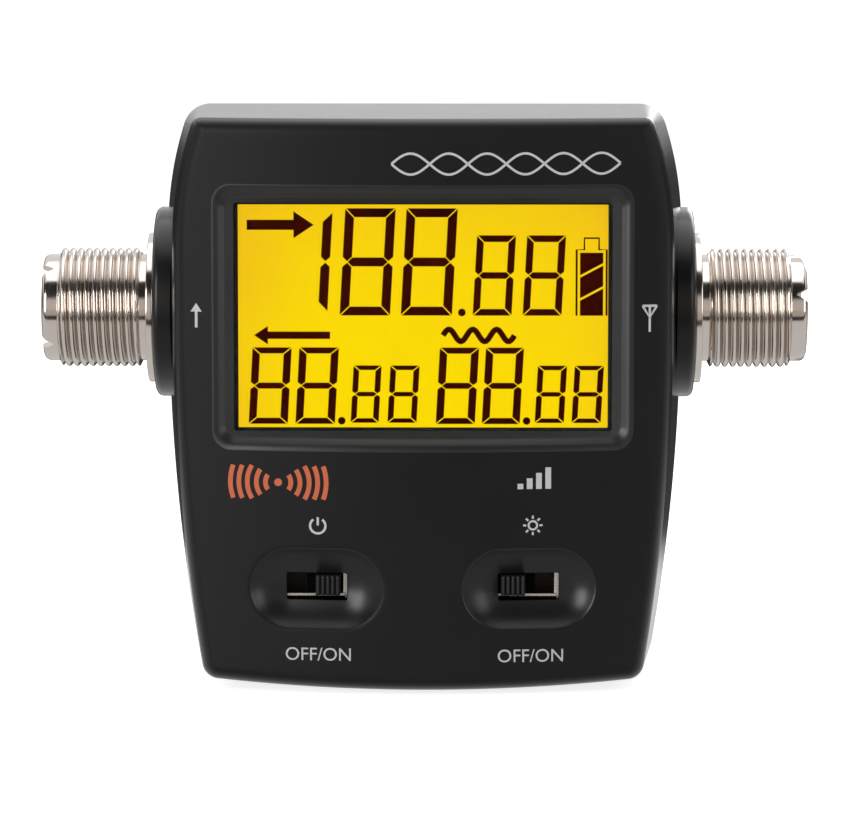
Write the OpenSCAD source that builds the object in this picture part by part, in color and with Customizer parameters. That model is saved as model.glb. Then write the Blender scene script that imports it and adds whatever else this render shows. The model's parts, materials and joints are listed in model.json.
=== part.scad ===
// Standing-wave and power meter for a radio station's feed line.
// X runs from the transmitter socket to the antenna socket, -Y is the display side and +Z is up.
// The origin is on the table, below the middle of the case.

/* [Case] */
// Greatest width of the case, at the height of the sockets
case_w = 68.7; // [67:0.1:76]
// Height of the case without its feet
case_h = 75.3; // [70:0.1:84]
// Depth from the crown of the front face to the back
case_d = 40; // [37:0.2:48]
// Width at the top corners before they are rounded
top_w = 62.4; // [60:0.2:66]
// Height of the curved shoulders, measured down from the top
shoulder_drop = 17; // [13:0.5:20]
// Width at the bottom corners before they are rounded
bottom_w = 60.4; // [58:0.2:64]
// Rise of the bottom edge from its middle to its corners
bottom_rise = 1.2; // [0.6:0.1:1.6]
// Radius of the top corners
top_r = 3.7; // [2:0.1:6]
// Radius of the front's top corners, before its inset
face_corner_r = 2.2; // [1.6:0.1:4]
// Radius of the bottom corners
bottom_r = 2.2; // [1.4:0.1:4]
// Radius of the bowed front face
bow_r = 120; // [110:5:300]
// Wall thickness of both shells
wall = 2; // [1.6:0.1:2.2]
// Inset of the front's sides from the widest outline
front_side_draft = 1.7; // [0.6:0.1:2]
// Inset of the front's top from the widest outline
front_top_draft = 0.8; // [0.2:0.1:1.4]
// Inset of the back's sides and top from the widest outline
rear_draft = 0.7; // [0.2:0.1:1.2]
// Rounding of the front's rim
front_round = 1; // [0.4:0.1:1.4]
// Rounding of the back's rim
rear_round = 1.4; // [0.6:0.1:1.6]
// Height of the case's lowest point above the table
case_lift = 0.6; // [0.3:0.1:0.9]
// Radius of a rubber foot
foot_r = 4; // [3:0.5:5]
// Thickness of a rubber foot
foot_h = 1.7; // [1.6:0.1:2.2]

/* [Display] */
// Distance of the display's middle below the top of the case
display_down = 26.7; // [26:0.1:28]
// Width of the visible picture
view_w = 48.4; // [46:0.2:50]
// Height of the visible picture
view_h = 29; // [27:0.2:30]
// Width of the sloping frame round the picture
frame_w = 3.05; // [2.2:0.05:3.2]
// Height of the frame's middle above the picture's
frame_rise = 0.35; // [0:0.05:0.5]
// Thickness of the clear window
lens_t = 1.2; // [0.8:0.1:1.4]
// Depth of the window's outer face behind the crown of the front
lens_depth = 4.4; // [4.3:0.1:5.2]
// Thickness of the liquid-crystal panel
lcd_t = 2.2; // [1.8:0.1:2.4]
// Thickness of the light guide behind the panel
guide_t = 2.4; // [2:0.1:2.6]

/* [Switches] */
// Distance between the two switches
switch_pitch = 27.6; // [26:0.2:30]
// Height of the switches above the case's lowest point
switch_up = 13.5; // [12.6:0.1:14.4]
// Length of a finger dish
dish_l = 17.4; // [16:0.2:19]
// Height of a finger dish
dish_h = 10.6; // [10:0.2:12]
// Depth of a finger dish
dish_deep = 2.3; // [1.8:0.1:2.6]
// Width of a switch knob
knob_w = 2.95; // [2.6:0.05:3.2]
// Height of a switch knob
knob_h = 3.1; // [2.4:0.05:3.3]
// Travel of a switch knob
knob_travel = 3.5; // [2.6:0.1:3.8]

/* [Sockets] */
// Height of the socket axis above the case's lowest point
socket_up = 48; // [47.6:0.1:50]
// Place of the socket axis between the crown of the front and the back, as a share of the depth
socket_share = 0.6125; // [0.605:0.0025:0.625]
// Major radius of the socket's thread
thread_r = 7.9375; // [7.6:0.0125:8.2]
// Pitch of the socket's thread
thread_pitch = 1.0583; // [1:0.0001:1.25]
// Turns of the socket's thread
thread_turns = 10; // [8:1:12]
// Radius of the socket's flange
flange_r = 10; // [9:0.1:11]
// Thickness of the socket's flange
flange_t = 1; // [0.8:0.1:1.4]
// Radius of the black collar under the flange
collar_r = 12.7; // [12:0.1:13.2]
// Thickness of the collar's disc, which is partly sunk into the case
collar_t = 2.5; // [2:0.1:3.2]
// Height of the collar's middle above the socket axis
collar_rise = 0.8; // [0:0.1:1.2]
// Radius of the bore that takes the plug's centre pin
pin_bore_r = 2; // [1.9:0.05:2.1]
// Across flats of the socket's nut
nut_af = 15; // [14.8:0.1:15.4]

/* [Batteries] */
// Diameter of a cell
cell_d = 10.3; // [9.8:0.1:10.4]
// Length of a cell with its button
cell_l = 44.5; // [43.5:0.1:45]
// Gap between the cells
cell_gap = 0.4; // [0.3:0.05:0.5]

/* [Hidden] */
$fn = 48;

// General clearances: a sliding fit, a loose fit and a cut's overrun
slip = 0.1;
loose = 0.3;
over = 1;

// Main planes and heights
crown_y = -case_d / 2;
back_y = case_d / 2;
half_w = case_w / 2;
top_z = case_lift + case_h;
socket_y = crown_y + socket_share * case_d;
socket_z = case_lift + socket_up;
display_z = top_z - display_down;
switch_z = case_lift + switch_up;
split_y = socket_y;

// Arcs of the case's outline: it is widest from socket height up to the shoulders
low_side_r = arc_radius(socket_z - case_lift, half_w - bottom_w / 2);
low_side_c = [half_w - low_side_r, socket_z];
shoulder_z = top_z - shoulder_drop;
high_side_r = arc_radius(shoulder_drop, half_w - top_w / 2);
high_side_c = [half_w - high_side_r, shoulder_z];
floor_r = arc_radius(bottom_w / 2, bottom_rise);
floor_c = [0, case_lift + floor_r];
least_r = 0.4;
arc_steps = 6;
edge_steps = 12;
rim_steps = 4;

// Planes of the display stack, from the window to the main board
lens_y = crown_y + lens_depth;
lens_back_y = lens_y + lens_t;
lcd_y = lens_back_y + 0.2;
guide_y = lcd_y + lcd_t;
board_y = guide_y + guide_t;
board_t = 1.6;
board_back_y = board_y + board_t;

// Opening, window, panel and holder of the display
bevel_drop = 1;
bevel_w = frame_w / 2;
frame_r = 2.2;
view_room = 0.8;
lens_lap = 1.5;
frame_back = 3;
lens_w = view_w + 2 * lens_lap;
lens_h = view_h + 2 * lens_lap;
lcd_w = lens_w - 0.2;
lcd_h = lens_h;
holder_wall = 1;
holder_w = lcd_w + 2 * (slip + holder_wall);
holder_h = lcd_h + 2 * (slip + holder_wall);
strip_h = 1.9;
guide_h = lcd_h - 2 * (strip_h + loose);
lamp_w = 1.4;
guide_w = lcd_w - 2 * (lamp_w + loose);

// Switches: a slot in each dish, and a metal frame behind it
switch_x = switch_pitch / 2;
dish_face_y = face_y(switch_x);
dish_floor_t = 1.6;
dish_r = (pow(dish_h / 2, 2) + pow(dish_deep, 2)) / (2 * dish_deep);
dish_run = dish_l - dish_h;
dish_tilt = asin(switch_x / bow_r);
seat_y = dish_face_y + dish_deep + dish_floor_t;
slot_w = knob_w + knob_travel + 1.45;
slot_h = knob_h + 0.55;
port_w = knob_w + knob_travel + 0.85;
port_h = knob_h + 0.25;
frame_off_x = -0.3;
frame_off_z = 0.12;
frame_l = 11.4;
frame_h = 5.8;
tin = 0.4;
knob_proud = 0.3;
knob_y = dish_face_y + knob_proud;
flange_y = seat_y + tin + slip;
slide_flange_t = 1.2;
slide_flange_l = 5.6;
clip_t = 1;
base_y = flange_y + slide_flange_t + clip_t + slip;
base_t = 1.2;
pin_pitch = 2.5;
pin_row = 1.6;
pin_half = [0.4, 0.2];

// Sockets, along the X axis from the middle of the case outwards
side_slack = 0.6 * max(front_side_draft, rear_draft) + 0.4;
box_half = half_w - wall - side_slack;
box_t = 0.8;
collar_sunk = 1;
collar_seat = half_w - collar_sunk;
collar_face = collar_seat + collar_t;
flange_face = collar_face + flange_t;
neck_l = 1;
thread_start = flange_face + neck_l;
thread_end = thread_start + thread_turns * thread_pitch;
tip_l = 2.45;
socket_end = thread_end + tip_l;
tip_r = thread_r - 0.85;
thread_depth = 0.65;
crest_w = thread_pitch / 8;
flank_w = thread_depth * tan(30);
root_w = thread_pitch - crest_w - 2 * flank_w;
shank_r = 6.3;
spigot_r = 10.4;
mouth_r = 6.1;
throat_r = 5;
throat_end = flange_face + 2.8;
nut_t = 2.4;
shank_end = box_half - box_t - nut_t - 0.8;
insulator_face = socket_end - 6;
contact_r = 2.85;
contact_face = insulator_face - 0.3;
pin_bore_l = 10;
shoulder = contact_face - pin_bore_l - 1.6;
tail_r = 1.3;
tail_end = shank_end - 3;
insulator_end = shank_end - 0.8;

// Sensor box between the sockets
nut_corner = nut_af / 2 / cos(30);
box_y0 = socket_y - nut_af / 2 - loose;
box_y1 = socket_y + nut_af / 2 + loose;
box_z = nut_corner + loose + slip;
cover_t = 0.5;
pad_h = 0.8;
sensor_t = 1;
sensor_y = box_y1 - pad_h - sensor_t;
sensor_half = tail_end + 1.5;
sensor_screw = [tail_end - 1, 5.4];
sensor_skin = 1.2;
trimmer_at = [-13.5, 21];
trimmer_up = 3.7;
line_r = 0.9;
core_x = -6;
core_out = 4.9;
core_in = 3;
core_t = 2.8;
core_bevel = 0.4;
volt_x = 12;
wire_r = 0.3;
winding_turns = 10;
winding_steps = 8;
sleeve_r = 1.8;
sleeve_half = 5.5;
link_x = -18.6;
link_z = socket_z - 5.9;
link_pins = 4;
link_pitch = 2.54;
link_pin = 0.64;

// Battery bay in the rear shell
cell_r = cell_d / 2;
cell_pitch = cell_d + cell_gap;
cells = 3;
bay_half = cell_l / 2 + 2.75;
bay_wall = 1;
cell_y = back_y - wall - 0.35 - cell_r;
bay_floor_y = cell_y - cell_r - cell_gap;
bay_front_y = bay_floor_y - bay_wall;
cell_low_z = case_lift + bottom_rise * pow(cell_l / bottom_w, 2) + wall + 0.2;
cell_z = [for (k = [0 : cells - 1]) cell_low_z + cell_r + k * cell_pitch];
bay_top_z = cell_z[cells - 1] + cell_r + 1.9;
plate_t = 0.4;
button_l = 0.8;
button_r = 1.9;
stop_l = 0.9;
spring_r = 0.3;
spring_turns = 3;
spring_wide = 3.6;
spring_narrow = 2;
spring_l = 2 * bay_half - cell_l - 2 * plate_t - stop_l - slip;
tab_w = 1.6;
tab_l = 1.6;
lead_end = [16, 18.6];
lead_stub = 2;

// Battery door, hung by two hooks on its round top edge
door_half = bay_half + bay_wall - slip;
door_fit = 0.25;
door_t = wall - 0.2;
door_low_z = cell_low_z + 2;
door_top_z = bay_top_z - door_fit;
hinge_r = door_t / 2;
hinge_y = back_y - hinge_r;
hinge_z = door_top_z - hinge_r;
hook_x = 15;
hook_w = 5;
hook_t = 1.3;
hook_up = 2;
hook_drop = 1.7;
hook_pocket = 2.8;
hook_web_t = 1.1;

// Screws
screw_r = 1.15;
screw_head_r = 2;
screw_head_t = 1.5;
screw_sunk = 6;
screw_grip = 8;
screw_spare = 2;
column_r = 2.4;
column_gap = 0.5;
board_half = lcd_w / 2 - loose;
screw_x = max(bay_half + bay_wall + screw_head_r + slip, board_half + column_gap + column_r);
screw_up = 21.4;
screw_down = 6.4;
screw_z = [case_lift + screw_up, top_z - screw_down];
board_screw_r = 0.9;
board_head_r = 1.8;
board_head_t = 0.9;
board_grip = 4;
board_post_r = 2;
board_low_z = case_lift + bottom_rise + wall + 1.6;
board_top_z = top_z - front_top_draft - wall - 0.8;
board_screws_at = [[22, display_z + holder_h / 2 + 3.4], [22, display_z - holder_h / 2 - 5.2]];

// Feet, set back so that the front's lower edge hides them
foot_x = 20.5;
foot_ys = [-5, 12];

// Curves and vectors
function arc_radius(chord, rise) = (chord * chord + rise * rise) / (2 * rise);
function face_y(x) = crown_y + x * x / (2 * bow_r);
function unit(v) = v / norm(v);
function arc(c, r, a0, a1, skip) =
    [for (i = [skip : arc_steps]) let (a = a0 + (a1 - a0) * i / arc_steps) c + r * [cos(a), sin(a)]];
function angle_to(c, p) = atan2(p.y - c.y, p.x - c.x);

// Point to the lower right where a circle round c1 meets a circle round c2
function meet(c1, r1, c2, r2) =
    let (d = norm(c2 - c1), u = (c2 - c1) / d, a = (r1 * r1 - r2 * r2 + d * d) / (2 * d))
    c1 + a * u + sqrt(r1 * r1 - a * a) * [u.y, -u.x];

// Half of the case's outline, inset by s at the sides, t at the top and b at the bottom,
// with top corners of a radius that shrinks with the inset.
// The straight top has points too, so that it can follow the bow of the front.
function half_outline(s, t, b, corner_r) =
    let (rb = max(bottom_r - min(s, b), least_r),
        rt = max(corner_r - min(s, t), least_r),
        low = meet(low_side_c, low_side_r - s - rb, floor_c, floor_r - b - rb),
        high_y = top_z - t - rt,
        high_x = high_side_c.x + sqrt(pow(high_side_r - s - rt, 2) - pow(high_y - shoulder_z, 2)),
        high = [high_x, high_y],
        a1 = angle_to(floor_c, low),
        a2 = angle_to(low_side_c, low),
        a3 = angle_to(high_side_c, high),
        top_step = high_x / (arc_steps + 0.5))
    concat(arc(floor_c, floor_r - b, -90, a1, 0),
        arc(low, rb, a1, a2, 1),
        arc(low_side_c, low_side_r - s, a2, 0, 1),
        arc(high_side_c, high_side_r - s, 0, a3, 0),
        arc(high, rt, a3, 90, 1),
        [for (i = [1 : arc_steps]) [high_x - top_step * i, top_z - t]]);
function outline(s, t, b, corner_r = top_r) =
    let (h = half_outline(s, t, b, corner_r), n = len(h))
    concat(h, [for (i = [1 : n - 1]) [-h[n - i].x, h[n - i].y]]);

// Rings of points: flat at a depth, or following the bow of the front face
function flat_ring(points, y) = [for (p = points) [p.x, y, p.y]];
function bowed_ring(points, behind) = [for (p = points) [p.x, face_y(p.x) + behind, p.y]];
// Rounded rectangle round the display, with points along its level edges too
function round_rect(w, h, r, rise) =
    [for (k = [0 : 3], i = [0 : arc_steps + (k % 2 == 0 ? edge_steps - 1 : 0)])
        let (a = 90 * (k + min(i / arc_steps, 1)), run = 2 * max(i - arc_steps, 0) / edge_steps,
            sx = (k == 0 || k == 3) ? 1 : -1, sz = k < 2 ? 1 : -1)
        [sx * (w / 2 - r) * (1 - run) + r * cos(a), display_z + rise + sz * (h / 2 - r) + r * sin(a)]];

// Closed skin over a row of rings with equal counts
module loft(rings) {
    n = len(rings[0]);
    last = len(rings) - 1;
    points = [for (ring = rings, p = ring) p];
    sides = [for (k = [0 : last - 1], i = [0 : n - 1], half = [0, 1])
        let (j = (i + 1) % n, a = k * n, b = a + n)
        half == 0 ? [a + i, b + i, b + j] : [a + i, b + j, a + j]];
    caps = [[for (i = [0 : n - 1]) i], [for (i = [0 : n - 1]) last * n + n - 1 - i]];
    polyhedron(points, concat(sides, caps));
}

// Tube of six sides along a path, its rings carried along without twist
function tangent(path, i) = unit(path[min(i + 1, len(path) - 1)] - path[max(i - 1, 0)]);
function turned(path, i, n) = let (t = tangent(path, i)) unit(n - (n * t) * t);
function normals(path, first) =
    [for (i = 0, n = turned(path, 0, first); i < len(path);
        i = i + 1, n = turned(path, min(i, len(path) - 1), n)) n];
module tube(path, r, first) {
    ns = normals(path, first);
    loft([for (i = [0 : len(path) - 1])
        let (n = ns[i], b = cross(tangent(path, i), n))
        [for (a = [0 : 60 : 300]) path[i] + r * (cos(a) * n + sin(a) * b)]]);
}

// Least gap between two turns of a wound wire, measured on its points
function wire_gap(path, r, turn) =
    min([for (i = [0 : len(path) - 1], j = [i + turn - 2 : 1 : len(path) - 1]) norm(path[i] - path[j])])
        - 2 * r;

// Case shells
module front_outer() {
    hull() loft(concat([flat_ring(outline(0, 0, 0), split_y)],
        [for (i = [0 : rim_steps]) let (a = 90 * i / rim_steps, q = front_round * (1 - cos(a)))
            bowed_ring(outline(front_side_draft + q, front_top_draft + q, q, face_corner_r),
                front_round * (1 - sin(a)))]));
}

module front_cavity() {
    hull() loft([flat_ring(outline(wall, wall, wall), split_y + over),
        flat_ring(outline(wall, wall, wall), split_y),
        bowed_ring(outline(front_side_draft + wall, front_top_draft + wall, wall, face_corner_r), wall)]);
}

module rear_outer() {
    hull() loft(concat([for (i = [0 : rim_steps]) let (a = 90 * i / rim_steps, q = rear_round * (1 - sin(a)))
            flat_ring(outline(rear_draft + q, rear_draft + q, q), back_y - rear_round * (1 - cos(a)))],
        [flat_ring(outline(0, 0, 0), split_y)]));
}

module rear_cavity() {
    hull() loft([flat_ring(outline(rear_draft + wall, rear_draft + wall, wall), back_y - wall),
        flat_ring(outline(wall, wall, wall), split_y),
        flat_ring(outline(wall, wall, wall), split_y - over)]);
}

// Box from its corners
module box(low, high) {
    translate(low) cube(high - low);
}

// Cylinder along Y between two depths
module post(x, z, r, y0, y1) {
    translate([x, y0, z]) rotate([-90, 0, 0]) cylinder(r = r, h = y1 - y0);
}

// Cylinder along X, on the socket axis or above it
module axle(r, x0, x1, rise = 0) {
    translate([x0, socket_y, socket_z + rise]) rotate([0, 90, 0]) cylinder(r = r, h = x1 - x0);
}

// Solid of revolution round the socket axis, from points of [radius, distance from the middle]
module turned_part(points) {
    translate([0, socket_y, socket_z]) rotate([0, 90, 0]) rotate_extrude() polygon(points);
}

module both_sides() {
    children();
    mirror([1, 0, 0]) children();
}

// Cuts that both shells share: the round openings for the collars, and the seats of the feet
module collar_openings() {
    both_sides() {
        axle(spigot_r + slip, half_w - wall - side_slack - over, half_w + over);
        axle(collar_r + slip, collar_seat, half_w + over, collar_rise);
    }
}

module foot_seats() {
    both_sides() for (y = foot_ys)
        translate([foot_x, y, -over]) cylinder(r = foot_r + slip, h = foot_h + over);
}

module window_cut() {
    open_w = view_w + 2 * frame_w;
    open_h = view_h + 2 * frame_w;
    outer = round_rect(open_w, open_h, frame_r, frame_rise);
    step = round_rect(open_w - 2 * bevel_w, open_h - 2 * bevel_w, frame_r - bevel_w / 2, frame_rise);
    inner = round_rect(view_w + view_room, view_h + view_room, least_r, 0);
    loft([flat_ring(inner, lens_back_y + over), flat_ring(inner, lens_y), bowed_ring(step, bevel_drop),
        bowed_ring(outer, 0), flat_ring(outer, crown_y - over)]);
    box([-lens_w / 2 - slip, lens_y, display_z - lens_h / 2 - slip],
        [lens_w / 2 + slip, lens_back_y + over, display_z + lens_h / 2 + slip]);
}

module dish_cut() {
    translate([switch_x, dish_face_y + dish_deep - dish_r, switch_z]) rotate([0, 0, dish_tilt])
        rotate([0, 90, 0]) rotate_extrude() intersection() {
            union() {
                translate([0, -dish_run / 2]) square([dish_r, dish_run]);
                for (s = [-1, 1]) translate([0, s * dish_run / 2]) circle(r = dish_r);
            }
            translate([0, -dish_r - dish_run]) square([2 * dish_r, 2 * (dish_r + dish_run)]);
        }
}

module front_shell() {
    color("#202021") difference() {
        union() {
            difference() {
                front_outer();
                front_cavity();
            }
            intersection() {
                front_outer();
                union() {
                    box([-lens_w / 2 - frame_back, crown_y, display_z - lens_h / 2 - frame_back],
                        [lens_w / 2 + frame_back, lens_back_y, display_z + lens_h / 2 + frame_back]);
                    both_sides() {
                        box([switch_x - dish_l / 2 - 1, crown_y, switch_z - dish_h / 2 - 1],
                            [switch_x + dish_l / 2 + 1, seat_y, switch_z + dish_h / 2 + 1]);
                        for (z = screw_z) post(screw_x, z, column_r, crown_y, split_y);
                        for (p = board_screws_at) post(p.x, p.y, board_post_r, crown_y, board_y);
                    }
                }
            }
        }
        window_cut();
        both_sides() dish_cut();
        for (s = [-1, 1]) box([s * switch_x - slot_w / 2, crown_y, switch_z - slot_h / 2],
            [s * switch_x + slot_w / 2, seat_y + over, switch_z + slot_h / 2]);
        both_sides() {
            for (z = screw_z)
                post(screw_x, z, screw_r + slip / 2, split_y - screw_grip - screw_spare, split_y + over);
            for (p = board_screws_at)
                post(p.x, p.y, board_screw_r + slip / 2, board_y - board_grip - over, board_y + over);
        }
        collar_openings();
        foot_seats();
    }
}

module rear_shell() {
    color("#202021") difference() {
        union() {
            difference() {
                rear_outer();
                rear_cavity();
            }
            intersection() {
                rear_outer();
                union() {
                    box([-bay_half - bay_wall, bay_front_y, 0],
                        [bay_half + bay_wall, back_y, bay_top_z + bay_wall]);
                    both_sides() for (z = screw_z) post(screw_x, z, column_r, split_y, back_y);
                    for (s = [-1, 1]) post(s * sensor_screw.x, socket_z - s * sensor_screw.y, board_post_r,
                        box_y1 + box_t, back_y);
                }
            }
        }
        intersection() {
            rear_cavity();
            box([-bay_half, bay_floor_y, 0], [bay_half, back_y, bay_top_z]);
        }
        box([-door_half - door_fit, back_y - wall - slip, door_low_z - door_fit],
            [door_half + door_fit, back_y + over, bay_top_z]);
        both_sides() {
            box([hook_x - hook_w / 2 - loose, back_y - wall - hook_pocket, bay_top_z - over],
                [hook_x + hook_w / 2 + loose, back_y - wall, bay_top_z + hook_up]);
            for (z = screw_z) {
                post(screw_x, z, screw_r + slip, split_y - over, back_y + over);
                post(screw_x, z, screw_head_r + slip, back_y - screw_sunk, back_y + over);
            }
        }
        for (s = [-1, 1]) {
            post(s * sensor_screw.x, socket_z - s * sensor_screw.y, board_screw_r + slip / 2,
                box_y1, back_y - sensor_skin);
            tab = [s * (bay_half - plate_t / 2), cell_z[1 - s]];
            reach = [plate_t / 2 + slip, tab_w / 2 + slip];
            box([tab.x - reach.x, bay_front_y - over, tab.y - reach.y],
                [tab.x + reach.x, bay_floor_y + over, tab.y + reach.y]);
        }
        collar_openings();
        foot_seats();
    }
}

// Door: a plate with a round top edge, two hooks behind the shell's wall and three finger grooves
module battery_door() {
    groove_r = 0.5;
    groove_l = 16;
    groove_up = 3;
    groove_pitch = 2;
    color("#1d1d1e") {
        difference() {
            union() {
                box([-door_half, back_y - door_t, door_low_z], [door_half, back_y, hinge_z]);
                translate([-door_half, hinge_y, hinge_z]) rotate([0, 90, 0])
                    cylinder(r = hinge_r, h = 2 * door_half);
                both_sides() {
                    box([hook_x - hook_w / 2, back_y - wall - loose - hook_t, hinge_z - hook_drop],
                        [hook_x + hook_w / 2, back_y - wall - loose, hinge_z + hook_up]);
                    box([hook_x - hook_w / 2, back_y - wall - loose, hinge_z - hook_drop],
                        [hook_x + hook_w / 2, back_y - door_t, hinge_z - hook_drop + hook_web_t]);
                }
            }
            for (k = [0 : 2]) translate([-groove_l / 2, back_y, door_low_z + groove_up + groove_pitch * k])
                rotate([0, 90, 0]) cylinder(r = groove_r, h = groove_l);
        }
    }
}

// Pan-head screw along Y with its head at the back, and a cross recess
module screw(x, z, head_y, r, head_r, head_t, length) {
    arm = head_r * 0.6;
    slot = head_r * 0.2;
    difference() {
        union() {
            post(x, z, head_r, head_y, head_y + head_t);
            post(x, z, r, head_y - length, head_y + slip);
        }
        box([x - arm, head_y + head_t * 0.45, z - slot], [x + arm, head_y + head_t + over, z + slot]);
        box([x - slot, head_y + head_t * 0.45, z - arm], [x + slot, head_y + head_t + over, z + arm]);
    }
}

module case_screws() {
    color("#8c8d90") both_sides() for (z = screw_z)
        screw(screw_x, z, back_y - screw_sunk, screw_r, screw_head_r, screw_head_t,
            back_y - screw_sunk - split_y + screw_grip);
}

module feet() {
    color("#2a2a2a") both_sides() for (y = foot_ys)
        translate([foot_x, y, 0]) cylinder(r = foot_r, h = foot_h);
}

// Display
module upright_block(w, h, y0, y1) {
    box([-w / 2, y0, display_z - h / 2], [w / 2, y1, display_z + h / 2]);
}

module window_lens() {
    color("#d8dde0", 0.4) upright_block(lens_w, lens_h, lens_y, lens_back_y);
}

module lcd_panel() {
    color("#f4c60c") upright_block(lcd_w, lcd_h, lcd_y, guide_y);
}

module lcd_holder() {
    color("#2c2c2e") difference() {
        upright_block(holder_w, holder_h, lcd_y, board_y);
        upright_block(lcd_w + 2 * slip, lcd_h + 2 * slip, lcd_y - over, board_y + over);
    }
}

module light_guide() {
    color("#f6e7b0") upright_block(guide_w, guide_h, guide_y, board_y);
}

module guide_lamps() {
    half_h = 1.5;
    tall = 1.8;
    color("#f5f2e6") both_sides() for (s = [-1, 1])
        box([guide_w / 2 + slip, board_y - tall, display_z + s * guide_h / 4 - half_h],
            [guide_w / 2 + slip + lamp_w, board_y, display_z + s * guide_h / 4 + half_h]);
}

module contact_strips() {
    color("#c9a0a0") for (s = [-1, 1]) {
        middle = display_z + s * (lcd_h / 2 - strip_h / 2);
        box([-lcd_w / 2 + 2, guide_y, middle - strip_h / 2], [lcd_w / 2 - 2, board_y, middle + strip_h / 2]);
    }
}

// Main board with its holes for screws, switch pins and the link to the sensor board
module main_board() {
    color("#1f5a37") difference() {
        box([-board_half, board_y, board_low_z], [board_half, board_back_y, board_top_z]);
        both_sides() for (p = board_screws_at)
            post(p.x, p.y, board_screw_r + slip, board_y - over, board_back_y + over);
        for (s = [-1, 1]) switch_pins(s, slip, over);
        link_posts(link_pin / sqrt(2) + slip, board_y - over, board_back_y + over);
    }
}

module controller_chip() {
    half = 6;
    low_z = switch_z + 6.5;
    tall = 7;
    stand_off = 0.15;
    thick = 1.2;
    leg_l = 1.2;
    leg_w = 0.4;
    leg_t = 0.5;
    legs = 6;
    leg_pitch = tall / legs;
    color("#26272a") union() {
        box([-half, board_back_y + stand_off, low_z], [half, board_back_y + stand_off + thick, low_z + tall]);
        both_sides() for (k = [0 : legs - 1]) {
            leg_z = low_z + (k + 0.5) * leg_pitch;
            box([half, board_back_y, leg_z - leg_w / 2],
                [half + leg_l, board_back_y + leg_t, leg_z + leg_w / 2]);
        }
    }
}

module board_screws() {
    color("#9a9b9e") both_sides() for (p = board_screws_at)
        screw(p.x, p.y, board_back_y, board_screw_r, board_head_r, board_head_t, board_t + board_grip);
}

// Slide switches; side is -1 for the power switch and 1 for the lamp switch
function switch_mid(side) = side * switch_x + frame_off_x;

module switch_pins(side, extra, past) {
    for (k = [-1 : 1], s = [-1, 1]) {
        x = switch_mid(side) + k * pin_pitch;
        z = switch_z + s * pin_row;
        reach = pin_half + [extra, extra];
        box([x - reach.x, base_y + base_t / 2, z - reach.y],
            [x + reach.x, board_back_y + 0.3 + past, z + reach.y]);
    }
}

module switch_frame(side) {
    x = switch_mid(side);
    z = switch_z + frame_off_z;
    difference() {
        box([x - frame_l / 2, seat_y, z - frame_h / 2], [x + frame_l / 2, base_y + base_t, z + frame_h / 2]);
        box([x - frame_l / 2 + tin, seat_y + tin, z - frame_h / 2 + tin],
            [x + frame_l / 2 - tin, base_y + base_t + over, z + frame_h / 2 - tin]);
        box([x - port_w / 2, seat_y - over, z - port_h / 2],
            [x + port_w / 2, seat_y + tin + over, z + port_h / 2]);
    }
}

module switch_base(side) {
    x = switch_mid(side);
    z = switch_z + frame_off_z;
    reach = [frame_l / 2 - tin, frame_h / 2 - tin];
    rail_t = 0.6;
    union() {
        box([x - reach.x, base_y, z - reach.y], [x + reach.x, base_y + base_t, z + reach.y]);
        box([x - reach.x, base_y, z - reach.y], [x + reach.x, board_y, z - reach.y + rail_t]);
        switch_pins(side, 0, 0);
    }
}

// Knob with upright ribs, on a flange that slides inside the frame
module switch_slider(side) {
    x = switch_mid(side) - side * knob_travel / 2;
    z = switch_z + frame_off_z;
    ribs = 5;
    groove = knob_w / (3 * ribs);
    groove_deep = 0.4;
    difference() {
        union() {
            box([x - knob_w / 2, knob_y, z - knob_h / 2], [x + knob_w / 2, flange_y + slip, z + knob_h / 2]);
            box([x - slide_flange_l / 2, flange_y, z - frame_h / 2 + tin + slip],
                [x + slide_flange_l / 2, flange_y + slide_flange_t, z + frame_h / 2 - tin - slip]);
        }
        for (k = [1 : ribs - 1]) {
            at = x - knob_w / 2 + k * knob_w / ribs;
            box([at - groove / 2, knob_y - over, z - knob_h / 2 - over],
                [at + groove / 2, knob_y + groove_deep, z + knob_h / 2 + over]);
        }
    }
}

module switch_contact(side) {
    x = switch_mid(side) - side * knob_travel / 2;
    z = switch_z + frame_off_z;
    half_l = 1.9;
    half_h = 0.5;
    row = 1.2;
    for (s = [-1, 1]) box([x - half_l, flange_y + slide_flange_t, z + s * row - half_h],
        [x + half_l, base_y - slip, z + s * row + half_h]);
}

module power_switch_frame() {
    color("#b9babc") switch_frame(-1);
}

module power_switch_base() {
    color("#6b3f22") switch_base(-1);
}

module power_slider() {
    color("#161617") switch_slider(-1);
}

module power_contact() {
    color("#c79a3c") switch_contact(-1);
}

module lamp_switch_frame() {
    color("#b9babc") switch_frame(1);
}

module lamp_switch_base() {
    color("#6b3f22") switch_base(1);
}

module lamp_slider() {
    color("#161617") switch_slider(1);
}

module lamp_contact() {
    color("#c79a3c") switch_contact(1);
}

// Sensor box, open towards the display, with an end wall for each socket
module sensor_box() {
    color("#b4b6b8") difference() {
        union() {
            difference() {
                box([-box_half, box_y0, socket_z - box_z - box_t],
                    [box_half, box_y1 + box_t, socket_z + box_z + box_t]);
                box([-box_half + box_t, box_y0 - over, socket_z - box_z],
                    [box_half - box_t, box_y1, socket_z + box_z]);
            }
            for (s = [-1, 1]) post(s * sensor_screw.x, socket_z - s * sensor_screw.y, board_post_r,
                box_y1 - pad_h, box_y1 + slip);
        }
        for (s = [-1, 1]) post(s * sensor_screw.x, socket_z - s * sensor_screw.y, board_screw_r + slip,
            box_y1 - over, box_y1 + box_t + over);
        both_sides() axle(shank_r + slip, box_half - box_t - over, box_half + over);
    }
}

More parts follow.
